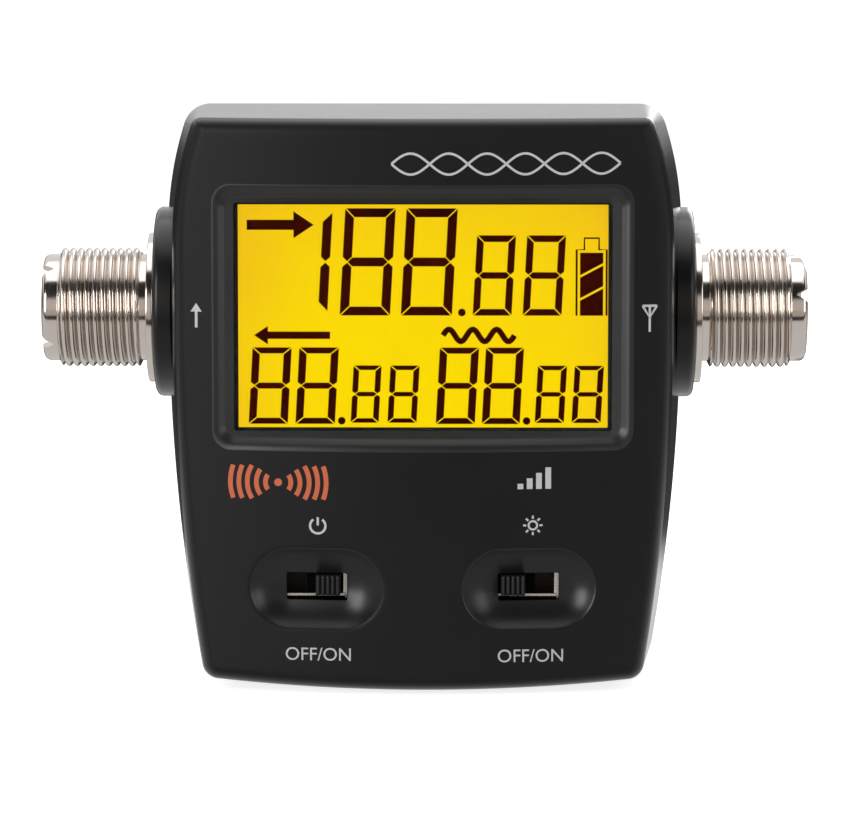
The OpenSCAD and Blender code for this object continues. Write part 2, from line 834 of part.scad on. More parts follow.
module sensor_cover() {
    room = 1.6;
    reach = (link_pins - 1) * link_pitch / 2 + room;
    color("#bfc1c3") difference() {
        box([-box_half, box_y0 - cover_t, socket_z - box_z - box_t],
            [box_half, box_y0, socket_z + box_z + box_t]);
        box([link_x - reach, box_y0 - cover_t - over, link_z - room],
            [link_x + reach, box_y0 + over, link_z + room]);
    }
}

module sensor_board() {
    color("#1f5a37") difference() {
        box([-sensor_half, sensor_y, socket_z - box_z + loose],
            [sensor_half, sensor_y + sensor_t, socket_z + box_z - loose]);
        for (s = [-1, 1]) post(s * sensor_screw.x, socket_z - s * sensor_screw.y, board_screw_r + slip,
            sensor_y - over, sensor_y + sensor_t + over);
        link_posts(link_pin / sqrt(2) + slip, sensor_y - over, sensor_y + sensor_t + over);
    }
}

module sensor_trimmers() {
    half = 2.2;
    tall = 3;
    z = socket_z + trimmer_up;
    slot = [1.5, 0.6, 0.3];
    color("#2e5fa8") for (x = trimmer_at) difference() {
        box([x - half, sensor_y - tall, z - half], [x + half, sensor_y, z + half]);
        box([x - slot.x, sensor_y - tall - over, z - slot.z],
            [x + slot.x, sensor_y - tall + slot.y, z + slot.z]);
    }
}

module sensor_screws() {
    color("#9a9b9e") for (s = [-1, 1]) mirror([0, 1, 0])
        screw(s * sensor_screw.x, socket_z - s * sensor_screw.y, -sensor_y, board_screw_r, board_head_r,
            board_head_t, back_y - sensor_skin - 0.4 - sensor_y);
}

// Pin header that links the sensor board to the main board
module link_posts(r, y0, y1) {
    for (k = [0 : link_pins - 1]) post(link_x + (k - (link_pins - 1) / 2) * link_pitch, link_z, r, y0, y1);
}

module link_header() {
    reach = link_pins * link_pitch / 2;
    tall = 2.5;
    half_h = 1.25;
    color("#2a2a2c") union() {
        box([link_x - reach, sensor_y - tall, link_z - half_h], [link_x + reach, sensor_y, link_z + half_h]);
        link_posts(link_pin / 2, board_y + 0.2, sensor_y + sensor_t + 0.4);
    }
}

// Feed line through the sensor, with its current and voltage transformers
module line_conductor() {
    color("#c9953f") axle(line_r, -tail_end, tail_end);
}

module line_sleeve() {
    color("#ecebe6") difference() {
        axle(sleeve_r, core_x - sleeve_half, core_x + sleeve_half);
        axle(line_r + slip / 2, core_x - sleeve_half - over, core_x + sleeve_half + over);
    }
}

module core_ring() {
    h = core_t / 2;
    b = core_bevel;
    rotate_extrude() polygon([[core_in, b - h], [core_in + b, -h], [core_out - b, -h], [core_out, b - h],
        [core_out, h - b], [core_out - b, h], [core_in + b, h], [core_in, h - b]]);
}

// Wire wound round a core's section, its bends set at the section's corners and mid-sides
function winding_path() =
    let (mid = (core_out + core_in) / 2, dr = (core_out - core_in) / 2 + wire_r + 0.3,
        dh = core_t / 2 + wire_r + 0.3, soft = 0.87, n = winding_turns * winding_steps)
    [for (i = [0 : n - 2])
        let (a = 330 * i / n, p = i % winding_steps,
            k = p % 2 == 0 ? 1 : soft * sqrt(2),
            r = mid + dr * k * cos(45 * p),
            h = dh * k * sin(45 * p))
        [r * cos(a), r * sin(a), h]];
module core_winding() {
    tube(winding_path(), wire_r, [0, 1, 0]);
}

module current_core() {
    color("#4a4c50") translate([core_x, socket_y, socket_z]) rotate([0, 90, 0]) core_ring();
}

module current_winding() {
    color("#b5622b") translate([core_x, socket_y, socket_z]) rotate([0, 90, 0]) core_winding();
}

// The voltage transformer lies on the sensor board, a wire's width above it
module voltage_place() {
    rise = core_t / 2 + 2 * wire_r + 0.5;
    translate([volt_x, sensor_y - rise, socket_z]) rotate([90, 0, 0]) children();
}

module voltage_core() {
    color("#4a4c50") voltage_place() core_ring();
}

module voltage_winding() {
    color("#b5622b") voltage_place() core_winding();
}

// Socket on one side; the transmitter's is the mirror of the antenna's, with its notches turned
module socket_shell(notch_turn) {
    root = thread_r - thread_depth;
    neck_r = root - 0.3;
    notch_w = 1.9;
    notch_deep = 1.3;
    chamfer = 0.4;
    turn = [[root, root_w / 2], [thread_r, root_w / 2 + flank_w], [thread_r, root_w / 2 + flank_w + crest_w],
        [root, thread_pitch - root_w / 2]];
    crests = [for (k = [0 : thread_turns - 1], p = turn) p + [0, thread_start + k * thread_pitch]];
    difference() {
        turned_part(concat([[throat_r, shank_end], [shank_r, shank_end], [shank_r, collar_face],
                [flange_r, collar_face], [flange_r, flange_face],
                [neck_r, flange_face], [neck_r, thread_start]],
            [[root, thread_start]], crests, [[root, thread_end]],
            [[tip_r, thread_end], [tip_r, socket_end - chamfer], [tip_r - chamfer, socket_end],
                [mouth_r, socket_end], [mouth_r, throat_end], [throat_r, throat_end]]));
        for (a = [notch_turn : 90 : notch_turn + 270]) translate([0, socket_y, socket_z]) rotate([a, 0, 0])
            box([socket_end - notch_deep, mouth_r - over, -notch_w / 2],
                [socket_end + over, tip_r + over, notch_w / 2]);
    }
}

module socket_insulator() {
    turned_part([[tail_r + slip, insulator_end], [throat_r - slip, insulator_end],
        [throat_r - slip, throat_end + slip], [mouth_r - slip, throat_end + slip],
        [mouth_r - slip, insulator_face], [contact_r + slip, insulator_face],
        [contact_r + slip, shoulder], [tail_r + slip, shoulder]]);
}

module socket_contact() {
    slit = 0.35;
    slit_l = 4;
    difference() {
        turned_part([[0, tail_end], [tail_r, tail_end], [tail_r, shoulder + slip],
            [contact_r, shoulder + slip],
            [contact_r, contact_face], [pin_bore_r, contact_face], [pin_bore_r, contact_face - pin_bore_l],
            [0, contact_face - pin_bore_l]]);
        for (a = [0, 90]) translate([0, socket_y, socket_z]) rotate([a, 0, 0])
            box([contact_face - slit_l, -contact_r - over, -slit / 2],
                [contact_face + over, contact_r + over, slit / 2]);
    }
}

// Collar: a spigot round the socket's shank, and a disc that sits a little higher
module socket_collar() {
    edge = 0.35;
    difference() {
        union() {
            axle(spigot_r, box_half, collar_seat + slip);
            axle(collar_r, collar_seat, collar_face - edge, collar_rise);
            translate([collar_face - edge, socket_y, socket_z + collar_rise]) rotate([0, 90, 0])
                cylinder(r1 = collar_r, r2 = collar_r - edge, h = edge);
        }
        axle(shank_r + slip, box_half - over, collar_face + over);
    }
}

module socket_nut() {
    inner = box_half - box_t;
    difference() {
        translate([inner - nut_t, socket_y, socket_z]) rotate([0, 90, 0])
            cylinder(r = nut_corner, h = nut_t, $fn = 6);
        axle(shank_r + slip, inner - nut_t - over, inner + over);
    }
}

module tx_collar() {
    color("#1b1b1c") mirror([1, 0, 0]) socket_collar();
}

module tx_socket() {
    color("#c3c4c4") mirror([1, 0, 0]) socket_shell(45);
}

module tx_insulator() {
    color("#efeee9") mirror([1, 0, 0]) socket_insulator();
}

module tx_contact() {
    color("#cfc9b8") mirror([1, 0, 0]) socket_contact();
}

module tx_nut() {
    color("#b8b9ba") mirror([1, 0, 0]) socket_nut();
}

module antenna_collar() {
    color("#1b1b1c") socket_collar();
}

module antenna_socket() {
    color("#c3c4c4") socket_shell(15);
}

module antenna_insulator() {
    color("#efeee9") socket_insulator();
}

module antenna_contact() {
    color("#cfc9b8") socket_contact();
}

module antenna_nut() {
    color("#b8b9ba") socket_nut();
}

// Batteries; the cells' buttons point right, left and right again, from the bottom up
function cell_way(k) = k % 2 == 0 ? 1 : -1;

// Puts a piece made along X, with the button towards +X, at the place of cell k
module at_cell(k) {
    translate([0, cell_y, cell_z[k]]) mirror([cell_way(k) < 0 ? 1 : 0, 0, 0]) children();
}

module battery_cells() {
    tip = bay_half - plate_t - stop_l - slip / 2;
    rim = 0.5;
    color("#3a6a58") for (k = [0 : cells - 1]) at_cell(k) rotate([0, 90, 0]) rotate_extrude()
        polygon([[0, tip - cell_l], [cell_r - rim, tip - cell_l], [cell_r, tip - cell_l + rim],
            [cell_r, tip - button_l - rim], [cell_r - rim, tip - button_l],
            [button_r, tip - button_l], [button_r, tip], [0, tip]]);
}

// Contact plates: one with a raised stop at each button, one behind each spring
module battery_plates() {
    reach = cell_r - 1;
    color("#c8c9c6") {
        for (k = [0 : cells - 1]) at_cell(k) {
            union() {
                box([bay_half - plate_t, -reach, -reach], [bay_half, reach, reach]);
                translate([bay_half - plate_t - stop_l, 0, 0]) rotate([0, 90, 0])
                    cylinder(r1 = 1.6, r2 = 2.2, h = stop_l + slip);
                if (k == 0) contact_tab(1);
            }
            union() {
                box([-bay_half, -reach, -reach], [-bay_half + plate_t, reach, reach]);
                if (k == 2) contact_tab(-1);
            }
        }
    }
}

// Solder tab through the bay's floor
module contact_tab(s) {
    box([s > 0 ? bay_half - plate_t : -bay_half, bay_front_y - tab_l - cell_y, -tab_w / 2],
        [s > 0 ? bay_half : -bay_half + plate_t, 1 - cell_r, tab_w / 2]);
}

function spring_path() =
    let (n = spring_turns * 8, run = spring_l - 2 * spring_r)
    [for (i = [0 : n]) let (t = i / n, r = spring_wide + (spring_narrow - spring_wide) * t, a = 45 * i)
        [-bay_half + plate_t + spring_r + run * t, r * cos(a), r * sin(a)]];
module battery_springs() {
    color("#d2d3d0") for (k = [0 : cells - 1]) at_cell(k) tube(spring_path(), spring_r, [1, 0, 0]);
}

// Leads from the end tabs to the main board
function lead_path(s) =
    let (x = s * (bay_half - plate_t / 2), z = cell_z[1 - s],
        y0 = bay_front_y - tab_l, y1 = board_back_y + 0.5,
        mid = (y0 + y1) / 2, end = [s * lead_end.x, y1, switch_z + lead_end.y])
    [[x, y0, z], [x, y0 - lead_stub, z], [x - s * 0.6, mid + lead_stub, z + (end.z - z) * 0.12],
        [x - s * 1.6, mid, (z + end.z) / 2], [end.x + s * 1.5, mid - 1, end.z + (z - end.z) * 0.12],
        [end.x, y1 + lead_stub, end.z], end];
module battery_leads() {
    lead_r = 0.6;
    color("#b02020") for (s = [-1, 1]) tube(lead_path(s), lead_r, [0, 0, 1]);
}

echo(spring_gap = wire_gap(spring_path(), spring_r, 8), winding_gap = wire_gap(winding_path(), wire_r, 8));

front_shell();
rear_shell();
battery_door();
case_screws();
feet();
window_lens();
lcd_panel();
lcd_holder();
light_guide();
guide_lamps();
contact_strips();
main_board();
controller_chip();
board_screws();
power_switch_frame();
power_switch_base();
power_slider();
power_contact();
lamp_switch_frame();
lamp_switch_base();
lamp_slider();
lamp_contact();
sensor_box();
sensor_cover();
sensor_board();
sensor_trimmers();
sensor_screws();
link_header();
line_conductor();
line_sleeve();
current_core();
current_winding();
voltage_core();
voltage_winding();
tx_collar();
tx_socket();
tx_insulator();
tx_contact();
tx_nut();
antenna_collar();
antenna_socket();
antenna_insulator();
antenna_contact();
antenna_nut();
battery_cells();
battery_plates();
battery_springs();
battery_leads();
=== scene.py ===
"""Looks of a standing-wave and power meter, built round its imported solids.

Lengths are metres in the solids' own frame: +X towards the antenna socket, -Y the display side, +Z up.
"""
import json
import math

import bmesh
import bpy
from bpy.props import FloatProperty, FloatVectorProperty, IntProperty, PointerProperty
from mathutils import Matrix, Vector
from mathutils.geometry import delaunay_2d_cdt


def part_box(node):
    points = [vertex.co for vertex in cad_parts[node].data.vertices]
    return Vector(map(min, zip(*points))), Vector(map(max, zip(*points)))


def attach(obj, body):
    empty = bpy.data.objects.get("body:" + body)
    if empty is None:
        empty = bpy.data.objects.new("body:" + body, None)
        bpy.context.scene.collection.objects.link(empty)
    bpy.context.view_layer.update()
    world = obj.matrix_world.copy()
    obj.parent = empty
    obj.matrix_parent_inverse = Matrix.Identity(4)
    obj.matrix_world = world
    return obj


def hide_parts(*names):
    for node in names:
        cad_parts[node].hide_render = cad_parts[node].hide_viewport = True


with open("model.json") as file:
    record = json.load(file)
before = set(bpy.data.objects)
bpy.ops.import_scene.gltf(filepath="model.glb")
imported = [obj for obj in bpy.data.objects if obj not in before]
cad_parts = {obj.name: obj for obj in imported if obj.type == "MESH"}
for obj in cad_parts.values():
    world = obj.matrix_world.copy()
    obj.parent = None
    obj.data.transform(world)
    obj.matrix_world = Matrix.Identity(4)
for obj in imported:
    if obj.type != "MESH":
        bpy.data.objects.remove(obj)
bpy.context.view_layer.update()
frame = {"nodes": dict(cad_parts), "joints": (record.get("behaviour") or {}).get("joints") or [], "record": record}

bl_info = {
    "name": "Standing-Wave Meter",
    "version": (1, 0, 0),
    "blender": (4, 5, 0),
    "location": "View3D > Sidebar > Meter",
    "description": "Builds the meter's visible pieces, finishes and stage round its solids",
    "category": "Object",
}

MM = 0.001
SLIP = 0.1 * MM
SCREW_BOSS = 2.4 * MM
MOUNTS = {mount["name"]: mount for mount in frame["record"]["mounts"]}
JOINTS = {joint["name"]: joint for joint in frame["joints"]}
SOCKET_AXIS = Vector(MOUNTS["antenna_thread"]["pos_m"])
HINGE = Vector(JOINTS["battery_door_hinge"]["pos_m"])


# Sizes and colours that a user would change

def length(name, description, default):
    return FloatProperty(name=name, description=description, default=default, unit="LENGTH", precision=5)


def colour(name, description, default):
    return FloatVectorProperty(name=name, description=description, default=default, subtype="COLOR",
                               min=0, max=1)


class CaseSizes(bpy.types.PropertyGroup):
    width: length("Width", "Greatest width of the case, at the height of the sockets", 0.0687)
    top_width: length("Top width", "Width at the top corners before rounding", 0.0624)
    shoulder_drop: length("Shoulder drop", "Height of the curved shoulders below the top", 0.017)
    bottom_width: length("Bottom width", "Width at the bottom corners before rounding", 0.0604)
    bottom_rise: length("Bottom rise", "Rise of the bottom edge from its middle to its corners", 0.0012)
    top_radius: length("Top radius", "Radius of the top corners", 0.0037)
    face_corner: length("Face corner", "Radius of the front's top corners, before its inset", 0.0022)
    bottom_radius: length("Bottom radius", "Radius of the bottom corners", 0.0022)
    bow_radius: length("Bow radius", "Radius of the bowed front face", 0.12)
    wall: length("Wall", "Wall thickness of both shells", 0.002)
    side_draft: length("Side draft", "Inset of the front's sides from the widest outline", 0.0017)
    top_draft: length("Top draft", "Inset of the front's top from the widest outline", 0.0008)
    rear_draft: length("Rear draft", "Inset of the back's outline from the widest one", 0.0007)
    front_round: length("Front rounding", "Rounding of the front's rim", 0.002)
    rear_round: length("Rear rounding", "Rounding of the back's rim", 0.0014)
    seam: length("Seam", "Chamfer of each shell where they meet", 0.00012)
    foot_radius: length("Foot radius", "Radius of a rubber foot", 0.004)


class DisplaySizes(bpy.types.PropertyGroup):
    view_width: length("Picture width", "Width of the lit picture", 0.0481)
    view_height: length("Picture height", "Height of the lit picture", 0.0291)
    opening_width: length("Opening width", "Width of the frame's outer edge", 0.0537)
    opening_height: length("Opening height", "Height of the frame's outer edge", 0.0336)
    opening_rise: length("Opening rise", "Height of the frame's middle above the picture's", 0.00012)
    opening_radius: length("Opening radius", "Corner radius of the frame's outer edge", 0.0022)
    slope_width: length("Slope width", "Width of the frame's outer slope", 0.0012)
    slope_drop: length("Slope drop", "Depth of the frame's outer slope", 0.0009)
    edge_round: length("Edge rounding", "Reach of the rounding at the frame's outer edge", 0.0005)
    inner_width: length("Inner width", "Width of the frame's inner edge", 0.0492)
    inner_height: length("Inner height", "Height of the frame's inner edge", 0.0298)


class SwitchSizes(bpy.types.PropertyGroup):
    pitch: length("Pitch", "Distance between the two switches", 0.0276)
    height: length("Height", "Height of the switches above the table", 0.0141)
    dish_length: length("Dish length", "Length of a finger dish", 0.01745)
    dish_height: length("Dish height", "Height of a finger dish", 0.01065)
    dish_depth: length("Dish depth", "Depth of a finger dish", 0.0023)
    dish_lip: length("Dish lip", "Rounding of a finger dish's edge", 0.0002)
    slot_length: length("Slot length", "Length of the slot in a dish", 0.008)
    slot_height: length("Slot height", "Height of the slot in a dish", 0.00365)
    knob_width: length("Knob width", "Width of a switch knob", 0.0032)
    knob_height: length("Knob height", "Height of a switch knob", 0.0026)
    knob_rise: length("Knob rise", "Height of a knob's middle above its slot's", 0.00022)
    lip_height: length("Lip height", "Height of the metal lip below a knob", 0.00036)
    lip_rise: length("Lip rise", "Height of the metal lip above the slot's lower edge", 0.00036)
    lip_depth: length("Lip depth", "How far the metal lip stands out of its frame", 0.00025)
    rib_depth: length("Rib depth", "Depth of the grooves between a knob's ribs", 0.00035)
    ribs: IntProperty(name="Ribs", description="Upright ribs on a knob", default=5, min=2, max=9)


class SocketSizes(bpy.types.PropertyGroup):
    pitch: length("Thread pitch", "Pitch of the socket's thread", 0.0010583)
    turns: IntProperty(name="Turns", description="Turns of the socket's thread", default=10, min=6, max=12)
    runout: length("Run-out", "Length of the thread beyond its last whole turn", 0.00035)
    thread_depth: length("Thread depth", "Depth of the socket's thread", 0.00065)
    flange_radius: length("Flange radius", "Radius of the socket's flange", 0.01)
    flange: length("Flange", "Thickness of the socket's flange", 0.001)
    neck: length("Neck", "Length of the plain neck behind the thread", 0.001)
    neck_radius: length("Neck radius", "Radius of the neck and of the plain end", 0.0071)
    shank_radius: length("Shank radius", "Radius of the shank inside the case", 0.0063)
    mouth_radius: length("Mouth radius", "Radius of the socket's mouth", 0.0061)
    throat_radius: length("Throat radius", "Radius of the bore behind the mouth", 0.005)
    notch_width: length("Notch width", "Width of the notches in the socket's end", 0.0019)
    notch_depth: length("Notch depth", "Depth of the notches in the socket's end", 0.0015)
    collar_radius: length("Collar radius", "Radius of the black collar", 0.0127)
    collar_rise: length("Collar rise", "Height of the collar's middle above the socket's axis", 0.0008)
    spigot_radius: length("Spigot radius", "Radius of the collar's spigot in the case", 0.0104)


class MeterColours(bpy.types.PropertyGroup):
    case: colour("Case", "Black plastic of the shells", (0.006, 0.006, 0.0062))
    picture: colour("Picture", "Middle of the lit display", (0.956, 0.69, 0.001))
    # Picture edge colours the edges of the lit display, and its top edge most, where the frame's shade is painted.
    picture_edge: colour("Picture edge", "Edges of the lit display", (0.83, 0.45, 0.012))
    segment: colour("Segment", "Dark segments of the display", (0.026, 0.0015, 0.0003))
    print_grey: colour("Grey print", "Light print on the case", (0.49, 0.49, 0.48))
    print_orange: colour("Orange print", "Orange mark on the case", (0.53, 0.12, 0.05))
    nickel: colour("Nickel", "Plating of the sockets", (0.74, 0.68, 0.63))


class StageSettings(bpy.types.PropertyGroup):
    aim: FloatVectorProperty(name="Aim", description="Point that the camera looks at", subtype="XYZ",
                             default=(0, -0.02, 0.03667), unit="LENGTH")
    distance: length("Distance", "Distance of the camera from its aim", 0.6)
    azimuth: FloatProperty(name="Azimuth", description="Turn of the camera to the right",
                           default=math.radians(0.7), subtype="ANGLE")
    elevation: FloatProperty(name="Elevation", description="Height of the camera over the horizon",
                             default=math.radians(6.7), subtype="ANGLE")
    lens: FloatProperty(name="Lens", description="Focal length of the camera", default=197.9,
                        subtype="DISTANCE_CAMERA")
    floor: colour("Floor", "Pale floor under the meter", (0.8, 0.8, 0.8))


# Points and outlines

def arc(centre, radius, start, stop, steps, skip=0):
    """Points on an arc in a plane, from one angle to another."""
    turns = [start + (stop - start) * i / steps for i in range(skip, steps + 1)]
    return [(centre[0] + radius * math.cos(a), centre[1] + radius * math.sin(a)) for a in turns]


def rounded(width, height, radius, centre, corner=8, edge=22):
    """Rounded rectangle, with points along its edges too, counterclockwise from the right."""
    points = []
    half = (width / 2 - radius, height / 2 - radius)
    signs = ((1, 1), (-1, 1), (-1, -1), (1, -1))
    for k, (sx, sz) in enumerate(signs):
        middle = (centre[0] + sx * half[0], centre[1] + sz * half[1])
        points += arc(middle, radius, k * math.pi / 2, (k + 1) * math.pi / 2, corner)
        nx, nz = signs[(k + 1) % 4]
        end = (centre[0] + nx * half[0], centre[1] + nz * half[1])
        begin = points[-1]
        shift = (end[0] - middle[0], end[1] - middle[1])
        points += [(begin[0] + shift[0] * i / edge, begin[1] + shift[1] * i / edge) for i in range(1, edge)]
    return points


def stadium(run, radius, centre, bend=24, edge=10):
    """Outline of a slot with round ends, counterclockwise from the lower right."""
    points = []
    for side in (1, -1):
        middle = (centre[0] + side * run / 2, centre[1])
        start = -side * math.pi / 2
        points += arc(middle, radius, start, start + math.pi, bend)
        begin = points[-1]
        points += [(begin[0] - side * run * i / edge, begin[1]) for i in range(1, edge)]
    return points


def encloses(loop, point):
    """True if a closed loop goes round a point."""
    x, z = point
    inside = False
    for (x0, z0), (x1, z1) in zip(loop, loop[1:] + loop[:1]):
        if (z0 > z) != (z1 > z) and x < x0 + (x1 - x0) * (z - z0) / (z1 - z0):
            inside = not inside
    return inside


def mixed(low, high, share):
    """Points part of the way from one row to another."""
    return [Vector(a).lerp(Vector(b), share) for a, b in zip(low, high)]


class CaseForm:
    """The case's outline and bowed face, from the solids' box and the case's sizes."""

    arc_steps = {"floor": 24, "foot": 8, "low": 30, "high": 20, "shoulder": 10, "top": 16}

    def __init__(self, case):
        low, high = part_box("front_shell")
        self.case = case
        self.crown_y = low.y
        self.split_y = high.y
        self.floor_z = low.z
        self.top_z = high.z
        self.back_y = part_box("rear_shell")[1].y
        half = case.width / 2
        self.wide_z = SOCKET_AXIS.z
        self.low_r = self.arc_radius(self.wide_z - self.floor_z, half - case.bottom_width / 2)
        self.shoulder_z = self.top_z - case.shoulder_drop
        self.high_r = self.arc_radius(case.shoulder_drop, half - case.top_width / 2)
        self.floor_r = self.arc_radius(case.bottom_width / 2, case.bottom_rise)
        self.low_c = (half - self.low_r, self.wide_z)
        self.high_c = (half - self.high_r, self.shoulder_z)
        self.floor_c = (0, self.floor_z + self.floor_r)

    @staticmethod
    def arc_radius(chord, rise):
        return (chord * chord + rise * rise) / (2 * rise)

    @staticmethod
    def meet(c1, r1, c2, r2):
        """Lower right point where two circles meet."""
        gap = Vector(c2) - Vector(c1)
        u = gap.normalized()
        a = (r1 * r1 - r2 * r2 + gap.length_squared) / (2 * gap.length)
        h = math.sqrt(r1 * r1 - a * a)
        return (c1[0] + a * u.x + h * u.y, c1[1] + a * u.y - h * u.x)

    def outline(self, side, top, bottom, corner=None):
        """Closed outline, inset at the sides, the top and the bottom, counterclockwise from below."""
        corner = corner or self.case.top_radius
        n = self.arc_steps
        least = 0.4 * MM
        rb = max(self.case.bottom_radius - min(side, bottom), least)
        rt = max(corner - min(side, top), least)
        low = self.meet(self.low_c, self.low_r - side - rb, self.floor_c, self.floor_r - bottom - rb)
        high_z = self.top_z - top - rt
        reach = (self.high_r - side - rt) ** 2 - (high_z - self.shoulder_z) ** 2
        high = (self.high_c[0] + math.sqrt(reach), high_z)
        a1 = math.atan2(low[1] - self.floor_c[1], low[0])
        a2 = math.atan2(low[1] - self.low_c[1], low[0] - self.low_c[0])
        a3 = math.atan2(high[1] - self.high_c[1], high[0] - self.high_c[0])
        right = arc(self.floor_c, self.floor_r - bottom, -math.pi / 2, a1, n["floor"])
        right += arc(low, rb, a1, a2, n["foot"], 1)
        right += arc(self.low_c, self.low_r - side, a2, 0, n["low"], 1)
        right += arc(self.high_c, self.high_r - side, 0, a3, n["high"])
        right += arc(high, rt, a3, math.pi / 2, n["shoulder"], 1)
        x, z = right[-1]
        right += [(x * (1 - i / n["top"]), z) for i in range(1, n["top"] + 1)]
        return right + [(-x, z) for x, z in reversed(right[1:-1])]

    def front_outline(self, inset):
        """Outline of the drafted front, inset all round."""
        case = self.case
        return self.outline(case.side_draft + inset, case.top_draft + inset, inset, case.face_corner)

    def face_y(self, x):
        return self.crown_y + x * x / (2 * self.case.bow_radius)

    def bowed(self, points, depth):
        return [Vector((x, self.face_y(x) + depth, z)) for x, z in points]


def flat(points, y):
    return [Vector((x, y, z)) for x, z in points]


# Meshes

def add_object(name, data):
    """New object in the scene."""
    thing = bpy.data.objects.new(name, data)
    bpy.context.scene.collection.objects.link(thing)
    return thing


def final_mesh(thing):
    """New mesh of an object after its modifiers or its curve's settings."""
    bpy.context.view_layer.update()
    graph = bpy.context.evaluated_depsgraph_get()
    return bpy.data.meshes.new_from_object(thing.evaluated_get(graph))


def full_turn(steps):
    return [2 * math.pi * k / steps for k in range(steps)]


class Skin:
    """Points and faces of a piece, gathered ring by ring."""

    def __init__(self):
        self.points = []
        self.faces = []
        self.finish_of = []

    def ring(self, points):
        start = len(self.points)
        self.points += [Vector(p) for p in points]
        return list(range(start, len(self.points)))

    def face(self, corners, finish=0):
        self.faces.append(tuple(corners))
        self.finish_of.append(finish)

    def bridge(self, first, second, finish=0):
        for i in range(len(first)):
            j = (i + 1) % len(first)
            self.face((first[i], first[j], second[j], second[i]), finish)

    def extend(self, ring, rows, finish=0):
        """Joins rows of points to a ring one after another; returns the last ring."""
        for row in rows:
            after = self.ring(row)
            self.bridge(ring, after, finish)
            ring = after
        return ring

    def rings(self, rows):
        """Joins rows of points one after another; returns the last ring."""
        return self.extend(self.ring(rows[0]), rows[1:])

    def piece(self, name, *finishes, angle=30):
        mesh = bpy.data.meshes.new(name)
        mesh.from_pydata(self.points, [], self.faces)
        mesh.polygons.foreach_set("material_index", self.finish_of)
        clean = bmesh.new()
        clean.from_mesh(mesh)
        bmesh.ops.remove_doubles(clean, verts=clean.verts, dist=0.0005 * MM)
        bmesh.ops.dissolve_degenerate(clean, edges=clean.edges, dist=0.0002 * MM)
        bmesh.ops.recalc_face_normals(clean, faces=clean.faces)
        clean.to_mesh(mesh)
        clean.free()
        piece = add_object(name, mesh)
        dress(piece, *finishes)
        soften(piece, angle)
        return piece


def dress(piece, *finishes):
    """Gives a piece its finishes; its faces keep their places in the list where it had none before."""
    if piece.data.materials:
        piece.data.materials.clear()
    for finish in finishes:
        piece.data.materials.append(finish.material)


def soften(piece, angle=30):
    """Smooth shading between faces that meet at less than an angle in degrees."""
    piece.data.shade_smooth()
    piece.data.set_sharp_from_angle(angle=math.radians(angle))


def even_normals(piece):
    """Lets large faces rule the shading of the small ones along their edges."""
    step = piece.modifiers.new("even normals", "WEIGHTED_NORMAL")
    step.keep_sharp = True


def settle(piece):
    """Applies a piece's modifiers to its mesh."""
    made = final_mesh(piece)
    piece.modifiers.clear()
    old = piece.data
    piece.data = made
    bpy.data.meshes.remove(old)


def carve(piece, cutters, operation="DIFFERENCE"):
    """Cuts closed pieces out of a closed piece, joins them to it or keeps what they share."""
    for cutter in cutters:
        step = piece.modifiers.new("carve", "BOOLEAN")
        step.operation = operation
        step.solver = "MANIFOLD"
        step.object = cutter
    settle(piece)
    for cutter in cutters:
        bpy.data.objects.remove(cutter)
    if not piece.data.polygons:
        raise RuntimeError(f"{piece.name} has no faces left")
    return piece


def block(low, high, *finishes):
    """Closed box between two corners, for cutting or joining, in the last of its finishes."""
    lower = ((low[0], low[1]), (high[0], low[1]), (high[0], high[1]), (low[0], high[1]))
    return loft([[(x, y, z) for x, y in lower] for z in (low[2], high[2])], *finishes)


def loft(rows, *finishes):
    """Closed piece through rows of points, with flat ends, in the last of its finishes."""
    skin = Skin()
    used = len(finishes) - 1
    last = skin.extend(skin.ring(rows[0]), rows[1:], used)
    skin.face(range(len(rows[0])), used)
    skin.face(last, used)
    return skin.piece("loft", *finishes)


def turned(rows, centre, axis, finish, columns=64):
    """Closed solid of revolution from rows of (place along the axis, radius)."""
    ways = [Vector(row) for row in Matrix.Identity(3)]
    first = "XYZ".index(axis)
    along, across, up = (ways[(first + i) % 3] for i in range(3))
    spokes = [across * math.cos(a) + up * math.sin(a) for a in full_turn(columns)]
    rings = []
    for place, radius in rows:
        middle = Vector(centre) + along * place
        rings.append([middle + radius * spoke for spoke in spokes])
    return loft(rings, finish)


def fillet(radius, steps=4):
    """Steps of a quarter round as (share along, share down) of its radius, from flat to upright."""
    angles = [math.pi / 2 * i / steps for i in range(steps + 1)]
    return [(radius * math.sin(a), radius * (1 - math.cos(a))) for a in angles]


def fill(skin, loops, loose, keep, place, finish_at):
    """Fills a skin's surface between loops of points and through loose points with triangles."""
    flats = [p for loop in loops for p in loop] + loose
    edges = []
    start = 0
    for loop in loops:
        edges += [(start + i, start + (i + 1) % len(loop)) for i in range(len(loop))]
        start += len(loop)
    found = delaunay_2d_cdt([Vector(p) / MM for p in flats], edges, [], 0, 1e-6)
    points, triangles, origin = found[0], found[2], found[3]
    if len(points) != len(flats):
        raise RuntimeError("two points of a filled surface lie on each other")
    ring = skin.ring([place(p) for p in flats])
    for triangle in triangles:
        corners = [origin[k][0] for k in triangle]
        middle = [sum(flats[k][i] for k in corners) / 3 for i in (0, 1)]
        if keep(middle):
            skin.face([ring[k] for k in corners], finish_at(middle))
    made = []
    start = 0
    for loop in loops:
        made.append(ring[start:start + len(loop)])
        start += len(loop)
    return made


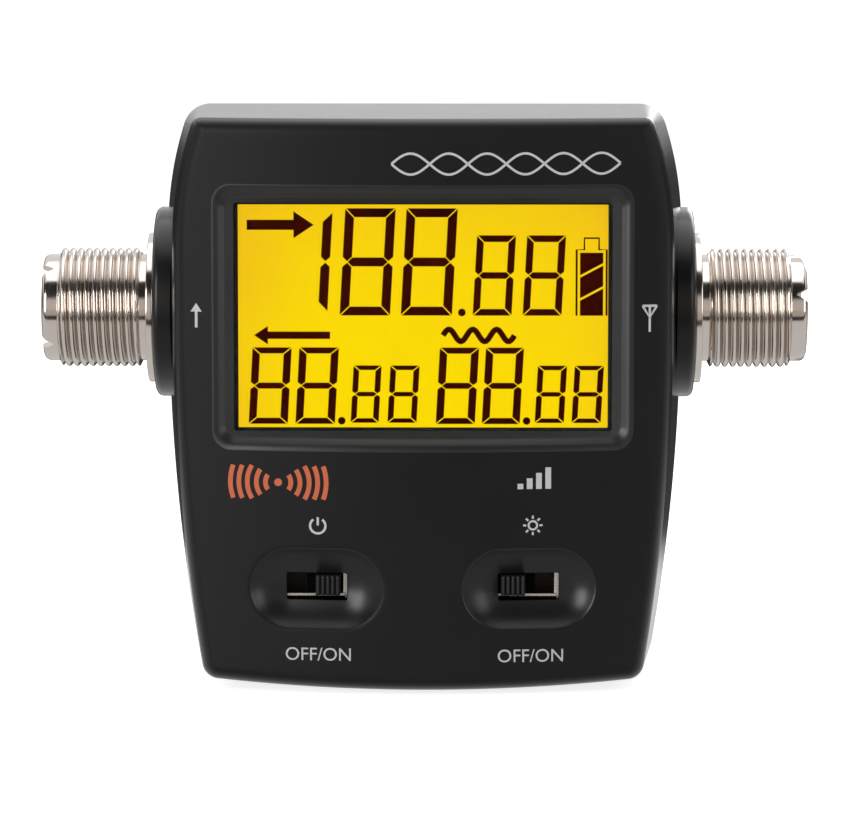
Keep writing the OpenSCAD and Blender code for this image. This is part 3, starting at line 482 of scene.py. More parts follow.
def tube(name, path, radius, finish):
    """Round wire along a smooth path, with capped ends."""
    curve = bpy.data.curves.new(name, "CURVE")
    curve.dimensions = "3D"
    curve.bevel_depth = radius
    curve.bevel_resolution = 4
    curve.use_fill_caps = True
    curve.resolution_u = 6
    spline = curve.splines.new("NURBS")
    spline.points.add(len(path) - 1)
    for point, place in zip(spline.points, path):
        point.co = (*place, 1)
    spline.order_u = 4
    spline.use_endpoint_u = True
    wire = add_object("wire", curve)
    mesh = final_mesh(wire)
    bpy.data.objects.remove(wire)
    mesh.name = name
    piece = add_object(name, mesh)
    dress(piece, finish)
    soften(piece, 50)
    return piece


def seat(piece, body, slot, *nodes):
    """Puts a piece on a body and in the place of solids; the slot it is given is not used."""
    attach(piece, body)
    if nodes:
        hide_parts(*nodes)


def keep_solid(name, finish, edge=0.1 * MM, flat_angle=2):
    """Gives a solid that stays its finish, and rounds its edges."""
    piece = frame["nodes"][name]
    dress(piece, finish)
    weld = piece.modifiers.new("weld", "WELD")
    weld.merge_threshold = 0.002 * MM
    flatten = piece.modifiers.new("flatten", "DECIMATE")
    flatten.decimate_type = "DISSOLVE"
    flatten.angle_limit = math.radians(flat_angle)
    if edge:
        bevel = piece.modifiers.new("edges", "BEVEL")
        bevel.width = edge
        bevel.segments = 3
        bevel.limit_method = "ANGLE"
        bevel.angle_limit = math.radians(40)
        bevel.harden_normals = False
    even_normals(piece)
    piece.data.shade_smooth()
    return piece


# Shader nodes

class Value:
    """A socket that arithmetic can be written on; each step adds one Math node."""

    def __init__(self, graph, socket):
        self.graph = graph
        self.socket = socket

    def math(self, operation, *terms):
        return self.graph.add("ShaderNodeMath", {"operation": operation}, dict(enumerate(terms)))

    def __add__(self, other):
        return self.math("ADD", self, other)

    __radd__ = __add__

    def __sub__(self, other):
        return self.math("SUBTRACT", self, other)

    def __rsub__(self, other):
        return self.math("SUBTRACT", other, self)

    def __mul__(self, other):
        return self.math("MULTIPLY", self, other)

    __rmul__ = __mul__

    def __truediv__(self, other):
        return self.math("DIVIDE", self, other)

    def __pow__(self, other):
        return self.math("POWER", self, other)

    def __gt__(self, other):
        return self.math("GREATER_THAN", self, other)

    def __abs__(self):
        return self.math("ABSOLUTE", self)

    def clip(self):
        return self.graph.add("ShaderNodeClamp", {}, {0: self})

    def larger(self, other):
        return self.math("MAXIMUM", self, other)


def tint(shade):
    """A colour as three numbers; one number alone is a grey."""
    return (shade,) * 3 if isinstance(shade, (int, float)) else tuple(shade)


class Graph:
    """A node tree that grows by expressions."""

    def __init__(self, tree):
        self.tree = tree

    def add(self, kind, settings, sockets, output=0):
        """Adds a node: its settings first, then the values or links of its sockets."""
        node = self.tree.nodes.new(kind)
        for name, value in settings.items():
            if name == "stops":
                while len(node.color_ramp.elements) < len(value):
                    node.color_ramp.elements.new(0.5)
                for element, (place, shade) in zip(node.color_ramp.elements, value):
                    element.position = place
                    element.color = (*tint(shade), 1)
            else:
                setattr(node, name, value)
        for name, value in sockets.items():
            self.feed(node.inputs[name], value)
        return Value(self, node.outputs[output])

    def feed(self, socket, value):
        if isinstance(value, Value):
            self.tree.links.new(value.socket, socket)
        elif socket.type == "RGBA":
            socket.default_value = (*tint(value), 1)
        else:
            socket.default_value = value

    def split(self, vector):
        """The three parts of a vector."""
        node = self.add("ShaderNodeSeparateXYZ", {}, {0: vector}).socket.node
        return [Value(self, output) for output in node.outputs]

    def blend(self, share, low, high):
        """Colour between two, by a share from 0 to 1."""
        return self.add("ShaderNodeMix", {"data_type": "RGBA"}, {0: share, 6: low, 7: high}, 2)

    def ramp(self, value, *stops):
        return self.add("ShaderNodeValToRGB", {"stops": stops}, {0: value})


class Finish(Graph):
    """A material with one Principled surface; its patterns lie in the piece's own place."""

    def __init__(self, name, **constants):
        self.material = bpy.data.materials.new(name)
        self.material.use_nodes = True
        super().__init__(self.material.node_tree)
        self.surface = self.tree.nodes["Principled BSDF"]
        self.place = self.add("ShaderNodeTexCoord", {}, {}, "Object")
        self.axes = None
        for socket, value in constants.items():
            self.set(socket.replace("_", " ").title().replace("Ior", "IOR"), value)

    def set(self, socket, value):
        self.feed(self.surface.inputs[socket], value)

    def noise(self, scale, detail=2.0, stretch=None):
        """Cloudy pattern with so many cells to the metre."""
        place = self.place
        if stretch:
            place = self.add("ShaderNodeVectorMath", {"operation": "MULTIPLY"}, {0: self.place, 1: stretch})
        sockets = {"Vector": place, "Scale": scale, "Detail": detail}
        return self.add("ShaderNodeTexNoise", {}, sockets, "Fac")

    def along(self, axis):
        """Place along an axis, in metres."""
        if self.axes is None:
            self.axes = dict(zip("XYZ", self.split(self.place)))
        return self.axes[axis]

    def bump(self, height, strength, distance):
        relief = {"Height": height, "Strength": strength, "Distance": distance}
        self.set("Normal", self.add("ShaderNodeBump", {}, relief))


def plastic(name, base, rough, grain=4200, relief=0.012 * MM, specular=0.3, spread=0.12, sheen=0.0):
    """Moulded plastic with a fine grain and cloudy gloss, which looks smoother at a slant."""
    finish = Finish(name, specular_ior_level=specular)
    fine = finish.noise(grain, 3)
    cloud = finish.noise(90, 3)
    finish.set("Base Color", finish.blend(cloud, [c * 0.8 for c in base], [c * 1.2 for c in base]))
    slant = finish.add("ShaderNodeLayerWeight", {}, {"Blend": 0.5}, "Facing")
    if sheen:
        finish.set("Coat Roughness", 0.2)
        finish.set("Coat Weight", ((slant - 0.15) * 3.0).clip() * sheen)
    finish.set("Roughness", rough - slant ** 4.0 * rough * 0.8
               + (fine - 0.5) * spread + (cloud - 0.5) * spread)
    finish.bump(fine, 0.35, relief)
    return finish


def metal(name, base, rough, stretch=(1, 1, 1), grain=2500, relief=0.002 * MM, tarnish=0.75):
    """Plated or rolled metal with fine marks along one way and slight tarnish."""
    finish = Finish(name, metallic=1.0)
    marks = finish.noise(grain, 4, stretch)
    cloud = finish.noise(260, 4)
    finish.set("Base Color", finish.blend(cloud, [c * tarnish for c in base], base))
    finish.set("Roughness", rough + (marks - 0.5) * 0.12 + (cloud - 0.5) * 0.08)
    finish.bump(marks, 0.25, relief)
    return finish


def ink(name, base):
    """Screen print, a little broken by the plastic's grain."""
    finish = Finish(name, specular_ior_level=0.25)
    fine = finish.noise(5200, 3)
    finish.set("Base Color", finish.blend(fine, [c * 0.86 for c in base], base))
    finish.set("Roughness", 0.55 + (fine - 0.5) * 0.2)
    finish.bump(fine, 0.3, 0.004 * MM)
    return finish


def rubber(name, base):
    return plastic(name, base, 0.75, 3000, 0.02 * MM, 0.2)


def lit_picture(colours, low, high):
    """Backlit face of the display: even in the middle, more orange towards its edges, and most along its top,
    where the shade of the frame above is painted in.
    """
    finish = Finish("lit picture", base_color=(0.02, 0.015, 0.0), roughness=0.5, emission_strength=1.0,
                    specular_ior_level=0.0)
    middle = (low + high) / 2
    across = abs(finish.along("X") - middle.x) / ((high.x - low.x) / 2)
    up = (finish.along("Z") - middle.z) / ((high.z - low.z) / 2)
    cloud = finish.noise(70, 2)
    # The upward term is painted shade from the frame over the top edge of the picture.
    edge = across ** 4.0 * 0.55 + (up * 0.5 + 0.5) ** 3.0 * 0.5 + (cloud - 0.5) * 0.5
    finish.set("Emission Color", finish.blend(edge.clip(), colours.picture, colours.picture_edge))
    return finish


def clear_window():
    finish = Finish("clear window", base_color=(1, 1, 1), transmission_weight=1.0, ior=1.08,
                    specular_ior_level=0.2)
    finish.set("Roughness", finish.noise(900, 2) * 0.02)
    return finish


def board_green():
    """Solder mask with lighter copper tracks under it."""
    finish = Finish("solder mask", specular_ior_level=0.5)
    tracks = finish.add("ShaderNodeTexBrick", {"offset": 0.37},
                        {"Vector": finish.place, "Scale": 260.0, "Mortar Size": 0.06}, "Fac")
    cloud = finish.noise(400, 2)
    mask = finish.blend(tracks, (0.012, 0.11, 0.045), (0.03, 0.2, 0.08))
    finish.set("Base Color", finish.blend(cloud * 0.4, mask, (0.01, 0.07, 0.03)))
    finish.set("Roughness", 0.3 + cloud * 0.15)
    finish.bump(tracks, 0.3, 0.02 * MM)
    return finish


def cell_jacket():
    """Printed jacket of a cell: dark body, with a copper band at one end of each cell."""
    low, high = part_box("battery_cells")
    third = (high.z - low.z) / 3
    finish = Finish("cell jacket", metallic=0.6, specular_ior_level=0.5)
    x = finish.along("X")
    row = (finish.along("Z") - low.z) / third
    middle_cell = (row > 1.0) - (row > 2.0)
    button_end = x * (1 - 2 * middle_cell)
    band = button_end > 9 * MM
    stripe = (button_end > 7.4 * MM) - (button_end > 8.2 * MM)
    fine = finish.noise(2600, 3)
    body = finish.blend(band, (0.012, 0.03, 0.022), (0.5, 0.22, 0.07))
    body = finish.blend(stripe, body, (0.7, 0.68, 0.6))
    tip = (abs(x) > high.x - 1.2 * MM).larger(0 - x > 0 - low.x - 0.4 * MM)
    finish.set("Base Color", finish.blend(tip, body, (0.6, 0.6, 0.58)))
    finish.set("Roughness", 0.32 + (fine - 0.5) * 0.1)
    finish.bump(fine, 0.2, 0.004 * MM)
    return finish


def striped_rubber():
    """Rubber strip of alternating conductive and plain layers."""
    finish = Finish("striped rubber", specular_ior_level=0.2)
    layers = finish.add("ShaderNodeTexWave", {"bands_direction": "X"},
                        {"Vector": finish.place, "Scale": 900.0}, "Fac")
    finish.set("Base Color", finish.blend(layers, (0.55, 0.3, 0.3), (0.05, 0.05, 0.05)))
    finish.set("Roughness", 0.6 + layers * 0.1)
    return finish


# Case

# Of these finishes, the fourth paints light on the frame's inner slope and the fifth paints shade on the walls of
# the slots.
GRAINED, SMOOTH, SATIN, PAINTED_LIGHT_SLOPE, PAINTED_SHADE_SLOT = range(5)
SLOT_EDGE = 0.06 * MM


def dish_depth(switches, x, z):
    """Depth of the face at a point: a finger dish round each switch, with rounded lips."""
    half = switches.dish_height / 2
    run = switches.dish_length - switches.dish_height
    deep = switches.dish_depth
    radius = (half * half + deep * deep) / (2 * deep)
    off = abs(abs(x) - switches.pitch / 2)
    reach = math.hypot(max(off - run / 2, 0), z - switches.height)
    if reach < half:
        raw = math.sqrt(radius * radius - reach * reach) - (radius - deep)
    else:
        raw = (half - reach) * half / (radius - deep)
    return (raw + math.sqrt(raw * raw + switches.dish_lip ** 2)) / 2


def dish_places(switches):
    return [(side * switches.pitch / 2, switches.height) for side in (-1, 1)]


def slot_outline(switches, centre, inset=0):
    return rounded(switches.slot_length - 2 * inset, switches.slot_height - 2 * inset, 0.3 * MM - inset / 2,
                   centre, 4, 14)


def face_fill_points(form, switches, window, grid=1.9 * MM):
    """Loose points of the front face: rings in the dishes, and a plain grid elsewhere."""
    loose = []
    run = switches.dish_length - switches.dish_height
    half = switches.dish_height / 2
    steps = (0.7, 0.4, 0.22, 0.1, 0.0, -0.1, -0.22, -0.4, -0.65, -1.0, -1.4, -1.9, -2.5, -3.1)
    bounds = []
    for centre in dish_places(switches):
        clear = slot_outline(switches, centre, -0.22 * MM)
        for step in steps:
            loose += [p for p in stadium(run, half + step * MM, centre) if not encloses(clear, p)]
        bounds.append(stadium(run, half + 1.6 * MM, centre))
    case = form.case
    rim = form.front_outline(2.2 * MM)
    nx = int(case.width / 2 / grid)
    nz = int(form.top_z / grid)
    for i in range(-nx, nx + 1):
        for k in range(nz + 1):
            p = (i * grid + (k % 2) * grid / 2, k * grid)
            if encloses(rim, p) and not any(encloses(b, p) for b in [window, *bounds]):
                loose.append(p)
    return loose


def window_rows(form, display):
    """Rows of the sloping frame with the finish before each, from just outside its edge to the window."""
    lens_low, lens_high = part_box("window_lens")
    middle = (lens_low + lens_high) / 2
    centre = (0, middle.z + display.opening_rise)
    slope = display.slope_drop / display.slope_width
    lip = display.edge_round

    def edge(inset):
        return rounded(display.opening_width - 2 * inset, display.opening_height - 2 * inset,
                       display.opening_radius - 0.55 * inset, centre)

    rows = []
    for i in range(9):
        inset = -lip + 2 * lip * i / 8
        rows.append((form.bowed(edge(inset), slope * (inset + lip) ** 2 / (4 * lip)), SATIN))
    near = display.slope_width - 0.1 * MM
    rows.append((form.bowed(edge(near), slope * near), SATIN))
    step = form.bowed(edge(display.slope_width), display.slope_drop)
    inner = rounded(display.inner_width, display.inner_height, 0.45 * MM, (0, middle.z))
    stop = flat(inner, lens_low.y - 0.25 * MM)
    rows += [(mixed(step, stop, share), PAINTED_LIGHT_SLOPE) for share in (0.06, 0.14, 0.95, 1)]
    rows.append((flat(rounded(display.inner_width - 0.1 * MM, display.inner_height - 0.1 * MM, 0.4 * MM,
                              (0, middle.z)), lens_low.y - 0.15 * MM), PAINTED_LIGHT_SLOPE))
    return rows


def front_solid(form, display, switches, finishes):
    """Outer form of the front shell, closed behind, with its window, dishes and slots."""
    case = form.case
    skin = Skin()
    rows = window_rows(form, display)
    window = [(p.x, p.z) for p in rows[0][0]]
    slots = [slot_outline(switches, centre) for centre in dish_places(switches)]
    rims = []
    for along, down in fillet(case.front_round, 8):
        rims.append(form.bowed(form.front_outline(down), case.front_round - along))
    rims.reverse()
    face_edge = [(p.x, p.z) for p in rims[0]]
    run = switches.dish_length - switches.dish_height
    dishes = [stadium(run, switches.dish_height / 2, c) for c in dish_places(switches)]

    def place(p):
        return Vector((p[0], form.face_y(p[0]) + dish_depth(switches, *p), p[1]))

    def keep(p):
        return not encloses(window, p) and not any(encloses(slot, p) for slot in slots)

    wider = rounded(display.opening_width + 2 * MM, display.opening_height + 2 * MM, 3 * MM,
                    (0, sum(z for _, z in window) / len(window)))
    rings = fill(skin, [face_edge, window, *slots], face_fill_points(form, switches, wider), keep, place,
                 lambda p: SMOOTH if any(encloses(d, p) for d in dishes) else GRAINED)
    split = flat(form.outline(0, 0, 0), form.split_y - case.seam)
    lip = flat(form.outline(case.seam, case.seam, case.seam), form.split_y)
    walls = [mixed(rims[-1], split, share) for share in (0.03, 0.15, 0.3, 0.45, 0.6, 0.75, 0.9)]
    skin.face(skin.extend(rings[0], [*rims[1:], *walls, split, lip]))
    ring = rings[1]
    for row, finish in rows[1:]:
        ring = skin.extend(ring, [row], finish)
    pocket_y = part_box("window_lens")[1].y
    skin.face(skin.extend(ring, [[(p.x, pocket_y, p.z) for p in rows[-1][0]]], PAINTED_LIGHT_SLOPE), PAINTED_LIGHT_SLOPE)
    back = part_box("power_switch_frame")[0].y + 0.6 * MM
    for centre, ring in zip(dish_places(switches), rings[2:]):
        row = slot_outline(switches, centre, SLOT_EDGE)
        ring = skin.extend(ring, [[place(p) + Vector((0, SLOT_EDGE, 0)) for p in row]], SMOOTH)
        # The walls of the slots take the finish painted darker for the shade inside them.
        skin.face(skin.extend(ring, [flat(row, back)], PAINTED_SHADE_SLOT), PAINTED_SHADE_SLOT)
    return skin.piece("front_case", *finishes)


def bowed_loft(form, rows, depth, finish):
    """Closed piece through rows of points, with a bowed end at a depth behind the face."""
    skin = Skin()
    loop = [(p.x, p.z) for p in rows[0]]
    grid = [(i * 6 * MM, k * 6 * MM) for i in range(-5, 6) for k in range(1, 13)]
    inner = form.front_outline(6 * MM)
    ring = fill(skin, [loop], [p for p in grid if encloses(inner, p)], lambda p: True,
                lambda p: Vector((p[0], form.face_y(p[0]) + depth, p[1])), lambda p: 0)[0]
    skin.face(skin.extend(ring, rows[1:]))
    return skin.piece("loft", finish)


def collar_cuts(form, sockets, finish):
    """Round openings in both sides for the collars and their spigots."""
    half = form.case.width / 2
    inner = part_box("antenna_collar")[0].x - 2 * MM
    spigot = sockets.spigot_radius + SLIP
    rim = sockets.collar_radius + SLIP
    steps = ((inner, spigot, 0, 96), (half - MM, rim, sockets.collar_rise, 128))
    cuts = []
    for side in (-1, 1):
        for start, radius, rise, columns in steps:
            centre = (0, SOCKET_AXIS.y, SOCKET_AXIS.z + rise)
            ends = [(side * start, radius), (side * (half + MM), radius)]
            cuts.append(turned(ends, centre, "X", finish, columns))
    return cuts


def foot_cuts(case, finish):
    low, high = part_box("feet")
    foot = case.foot_radius
    ends = [(-MM, foot + SLIP), (high.z, foot + SLIP)]
    return [turned(ends, (x, y, 0), "Z", finish)
            for x in (low.x + foot, high.x - foot) for y in (low.y + foot, high.y - foot)]


def screw_places():
    low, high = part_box("case_screws")
    head = 2 * MM
    return [(x, z) for x in (low.x + head, high.x - head) for z in (low.z + head, high.z - head)]


def screw_posts(front, back, finish):
    """Round posts for the case screws, between two depths."""
    ends = [(front, SCREW_BOSS), (back, SCREW_BOSS)]
    return [turned(ends, (x, 0, z), "Y", finish, 32) for x, z in screw_places()]


def block_round(centre, half, front, back, finish):
    """Closed box round a point of the face, between two depths."""
    (x, z), (dx, dz) = centre, half
    return block((x - dx, front, z - dz), (x + dx, back, z + dz), finish)


def close_shell(shell, cuts, form, sockets, finish, node):
    """Cuts a shell's openings, with those for collars and feet, and puts it in its solid's place."""
    carve(shell, [*cuts, *collar_cuts(form, sockets, finish), *foot_cuts(form.case, finish)])
    soften(shell)
    even_normals(shell)
    seat(shell, "case", "case_plastic", node)


def make_front_shell(form, display, switches, sockets, finishes):
    """Front shell: its outer form, hollowed, with seats for the window, the switches and the screws."""
    plain = finishes[0]
    shell = front_solid(form, display, switches, finishes)
    wall = form.case.wall
    inner = form.outline(wall, wall, wall)
    rows = [form.bowed(form.front_outline(wall), wall)]
    rows += [flat(inner, y) for y in (form.split_y, form.split_y + MM)]
    cavity = bowed_loft(form, rows, wall, plain)
    lens_low, lens_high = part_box("window_lens")
    margin = 3 * MM
    front = form.crown_y - MM
    stays = [block((lens_low.x - margin, front, lens_low.z - margin),
                   (lens_high.x + margin, lens_high.y, lens_high.z + margin), plain)]
    seat_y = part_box("power_switch_frame")[0].y
    dish = (switches.dish_length / 2 + MM, switches.dish_height / 2 + MM)
    slot = (switches.slot_length / 2 - SLOT_EDGE, switches.slot_height / 2 - SLOT_EDGE)
    places = dish_places(switches)
    stays += [block_round(centre, dish, front, seat_y, plain) for centre in places]
    stays += screw_posts(form.crown_y, form.split_y + 2 * MM, plain)
    carve(cavity, stays)
    pocket = block((lens_low.x - SLIP, lens_low.y, lens_low.z - SLIP),
                   (lens_high.x + SLIP, lens_high.y + MM, lens_high.z + SLIP), plain)
    slots = [block_round(centre, slot, seat_y - 0.3 * MM, seat_y + 3 * MM, plain) for centre in places]
    close_shell(shell, [cavity, pocket, *slots], form, sockets, plain, "front_shell")


def make_rear_shell(form, sockets, finish):
    """Rear shell: hollow, with the battery bay, the door's recess and wells for the screws."""
    case = form.case
    back = form.back_y
    draft = case.rear_draft
    rows = []
    for along, down in fillet(case.rear_round, 8):
        rim = form.outline(draft + down, draft + down, down)
        rows.append(flat(rim, back - case.rear_round + along))
    rows.reverse()
    split = flat(form.outline(0, 0, 0), form.split_y + case.seam)
    rows += [mixed(rows[-1], split, share) for share in (0.04, 0.3, 0.6, 0.9)]
    rows += [split, flat(form.outline(case.seam, case.seam, case.seam), form.split_y)]
    shell = loft(rows, finish)
    shell.name = "rear_case"
    wall = case.wall

    def inside():
        """Room inside the rear walls."""
        deep = flat(form.outline(draft + wall, draft + wall, wall), back - wall)
        near = form.outline(wall, wall, wall)
        return loft([deep, flat(near, form.split_y), flat(near, form.split_y - MM)], finish)

    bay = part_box("battery_plates")[1].x
    bay_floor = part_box("battery_cells")[0].y - 0.4 * MM
    door_low, door_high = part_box("battery_door")
    fit = 0.25 * MM
    bay_top = HINGE.z + (back - HINGE.y) + fit
    bay_wall = MM
    stays = [block((-bay - bay_wall, bay_floor - bay_wall, 0),
                   (bay + bay_wall, back, bay_top + bay_wall), finish)]
    stays += screw_posts(form.split_y - 2 * MM, back, finish)
    cavity = carve(inside(), stays)
    bay_room = carve(inside(), [block((-bay, bay_floor, 0), (bay, back, bay_top), finish)], "INTERSECT")
    width = 2 * (door_high.x + fit)
    height = bay_top - door_low.z + fit
    recess_z = (door_low.z - fit + bay_top) / 2
    flare = 0.15 * MM
    recess = []
    for y, grow in ((back - wall - 0.1 * MM, 0), (back - flare, 0), (back + flare, 2 * flare)):
        recess.append(flat(rounded(width + 2 * grow, height + 2 * grow, 0.5 * MM, (0, recess_z), 4, 2), y))
    cuts = [cavity, bay_room, loft(recess, finish)]
    hook_x, hook_room = 15 * MM, 2.8 * MM
    for side in (-1, 1):
        low = (side * hook_x - hook_room, back - wall - hook_room, bay_top - MM)
        high = (side * hook_x + hook_room, back - wall, bay_top + 2 * MM)
        cuts.append(block(low, high, finish))
    bore, lip = 2.1 * MM, 0.2 * MM
    well = [(back - 6 * MM, bore), (back - lip, bore), (back + lip, bore + 2 * lip)]
    cuts += [turned(well, (x, 0, z), "Y", finish, 48) for x, z in screw_places()]
    close_shell(shell, cuts, form, sockets, finish, "rear_shell")


# Print on the face and segments of the display

def stroke(points, width, closed=False):
    """Outline of a line of even width through points, as quads."""
    count = len(points)
    sides = []
    for i in range(count):
        before = points[i - 1] if closed or i else points[i]
        after = points[(i + 1) % count] if closed or i < count - 1 else points[i]
        way = Vector((after[0] - before[0], after[1] - before[1])).normalized()
        off = Vector((-way.y, way.x)) * width / 2
        here = Vector(points[i])
        sides.append((tuple(here + off), tuple(here - off)))
    pairs = list(zip(sides, sides[1:] + sides[:1]))
    return [[here[0], after[0], after[1], here[1]] for here, after in (pairs if closed else pairs[:-1])]


def disc(centre, radius, steps=28):
    return [arc(centre, radius, 0, 2 * math.pi * (1 - 1 / steps), steps - 1)]


def moved(shapes, dx, dz):
    return [[(x + dx, z + dz) for x, z in shape] for shape in shapes]


def plate(name, shapes, place, thick, finish):
    """Thin raised shapes, given in millimetres, set on a surface by a function of place and lift."""
    skin = Skin()
    for shape in shapes:
        points = [(x * MM, z * MM) for x, z in shape]
        lower = skin.ring([place(x, z, 0) for x, z in points])
        upper = skin.ring([place(x, z, thick) for x, z in points])
        skin.bridge(lower, upper)
        skin.face(lower)
        skin.face(upper)
    return skin.piece(name, finish)


def word_mesh(text, width, centre):
    """Triangles of a short word in the built-in type, fitted to a width, in millimetres."""
    curve = bpy.data.curves.new("word", "FONT")
    curve.body = text
    curve.resolution_u = 5
    letters = add_object("word", curve)
    mesh = final_mesh(letters)
    bpy.data.objects.remove(letters)
    xs = [v.co.x for v in mesh.vertices]
    zs = [v.co.y for v in mesh.vertices]
    scale = width / (max(xs) - min(xs))
    mid = ((max(xs) + min(xs)) / 2, (max(zs) + min(zs)) / 2)
    points = [(centre[0] + (x - mid[0]) * scale, centre[1] + (z - mid[1]) * scale) for x, z in zip(xs, zs)]
    shapes = [[points[k] for k in face.vertices] for face in mesh.polygons]
    bpy.data.meshes.remove(mesh)
    return shapes


def standing_wave(x0, x1, z, swing, loops, width):
    """Two mirrored waves that meet at even steps along a line."""
    count = loops * 14
    shapes = []
    for sign in (-1, 1):
        wave = [(x0 + (x1 - x0) * i / count, z + sign * swing * math.sin(math.pi * loops * i / count))
                for i in range(count + 1)]
        shapes += stroke(wave, width)
    return shapes


def radio_waves(centre, size, width):
    """A dot with growing arcs on both sides."""
    shapes = disc(centre, size * 0.11)
    for radius in (0.36, 0.62, 0.88, 1.12, 1.36):
        spread = min(0.62, math.asin(0.47 / max(radius, 0.47)))
        for turn in (0, math.pi):
            bow = arc(centre, size * radius, turn - spread, turn + spread, 14)
            shapes += stroke(bow, width)
    return shapes


def rising_bars(x0, z0, count, pitch, wide, rise):
    bars = []
    for k in range(count):
        left, top = x0 + k * pitch, z0 + (k + 1) * rise
        bars.append([(left, z0), (left + wide, z0), (left + wide, top), (left, top)])
    return bars


def power_sign(centre, size, width):
    gap = 0.62
    ring = arc(centre, size, math.pi / 2 + gap, math.pi / 2 + 2 * math.pi - gap, 30)
    bar = [(centre[0], centre[1] + size * 0.05), (centre[0], centre[1] + size * 1.12)]
    return stroke(ring, width) + stroke(bar, width)


def lamp_sign(centre, size, width):
    shapes = stroke(arc(centre, size * 0.5, 0, 2 * math.pi * 23 / 24, 23), width, True)
    for k in range(8):
        a = math.pi / 4 * k
        ends = (0.78 * size, 1.15 * size)
        shapes += stroke([(centre[0] + r * math.cos(a), centre[1] + r * math.sin(a)) for r in ends], width)
    return shapes


def arrow(tail, head, width, barb):
    """Straight arrow with a solid head."""
    way = Vector((head[0] - tail[0], head[1] - tail[1])).normalized()
    side = Vector((-way.y, way.x))
    neck = Vector(head) - way * barb * 1.5
    tip = [tuple(Vector(head)), tuple(neck + side * barb), tuple(neck - side * barb)]
    return stroke([tail, tuple(neck)], width) + [tip]


def antenna_sign(centre, size, width):
    x, z = centre
    mast = [(x, z - size), (x, z + size)]
    horns = [(x - size * 0.55, z + size), (x, z + size * 0.1), (x + size * 0.55, z + size)]
    return stroke(mast, width) + stroke(horns, width) + stroke([horns[0], horns[2]], width)


def eight(left, right, bottom, top, width, level, lean, gap=0.13, sides=(-1, 1)):
    """Segments of a leaning figure eight, mitred at their ends; with one side only, those of a one."""
    w, v = width / 2, level / 2
    l, r, b, t = left + w, right - w, bottom + v, top - v
    m = (b + t) / 2
    shapes = []
    if len(sides) == 2:
        g = gap / 2
        outer = (l - w + 2 * g, r + w - 2 * g)
        inner = (l + w + g, r - w - g)
        shapes.append([(outer[0], t + v), (outer[1], t + v), (inner[1], t - v), (inner[0], t - v)])
        shapes.append([(inner[0], b + v), (inner[1], b + v), (outer[1], b - v), (outer[0], b - v)])
        shapes.append([(l + g, m), (inner[0], m + v), (inner[1], m + v), (r - g, m), (inner[1], m - v),
                       (inner[0], m - v)])
    for side in sides:
        x = l if side < 0 else r
        for end, way in ((t + v, 1), (b - v, -1)):
            shapes.append([(x - side * w, end - way * (2 * v + gap)), (x + side * w, end - way * gap * 0.6),
                           (x + side * w, m + way * (v + gap * 0.6)), (x, m + way * gap * 0.8),
                           (x - side * w, m + way * (v + gap * 0.8))])
    return [[(x + (z - bottom) * lean, z) for x, z in shape] for shape in shapes]


def display_shapes(mid):
    """Everything dark on the display, in millimetres on its plane."""
    lean = 0.055
    rows = ((0.1, 14.05, 1.2, 1.15, ((-10.85, -4.3), (-2.9, 3.75))),
            (0.1, 10.55, 0.92, 0.85, ((6.45, 11.5), (12.95, 18.0))),
            (-14.1, -4.1, 1.0, 0.78, ((-22.75, -17.65), (-16.65, -11.5), (1.65, 6.75), (7.65, 12.6))),
            (-13.95, -6.45, 0.76, 0.58, ((-9.45, -5.8), (-4.65, -0.85), (14.55, 18.35), (19.35, 23.15))))
    shapes = eight(-20.0, -12.45, 0.6, 13.55, 1.2, 1.15, lean, sides=(1,))
    for bottom, top, width, level, spans in rows:
        for left, right in spans:
            shapes += eight(left, right, bottom, top, width, level, lean)
    for x, z in ((5.05, 0.5), (-10.6, -13.7), (13.5, -13.7)):
        shapes += disc((x, z), 0.5, 16)
    shapes += battery_sign()
    shapes += arrow((-22.9, 11.9), (-14.2, 11.9), 1.3, 1.75)
    shapes += arrow((-12.1, -2.5), (-22.0, -2.5), 0.95, 1.2)
    wave = [(2.6 + 9.3 * i / 40, -2.5 + 0.8 * math.sin(2 * math.pi * 3 * i / 40)) for i in range(41)]
    shapes += stroke(wave, 0.75)
    return moved(shapes, *mid)


def battery_sign():
    """Outline of a cell, open below, with three dark fills between slanted lines."""
    edge = [(19.95, 0.1), (19.95, 8.7), (20.95, 8.7), (20.95, 10.2),
            (22.85, 10.2), (22.85, 8.7), (23.85, 8.7), (23.85, 0.1)]
    left, right = 20.4, 23.4
    shapes = stroke(edge, 0.26)
    rows = ((0.1, 0), (2.2, 1.6), (5.2, 1.6), (8.3, 0))
    gap = 0.16
    for (low, slant), (high, rise) in zip(rows, rows[1:]):
        foot = gap if low > 0.1 else 0
        head = gap if high < 8.3 else 0
        shapes.append([(left, low + foot), (right, low + slant + foot),
                       (right, high + rise - head), (left, high - head)])
    return shapes


# Switch knobs

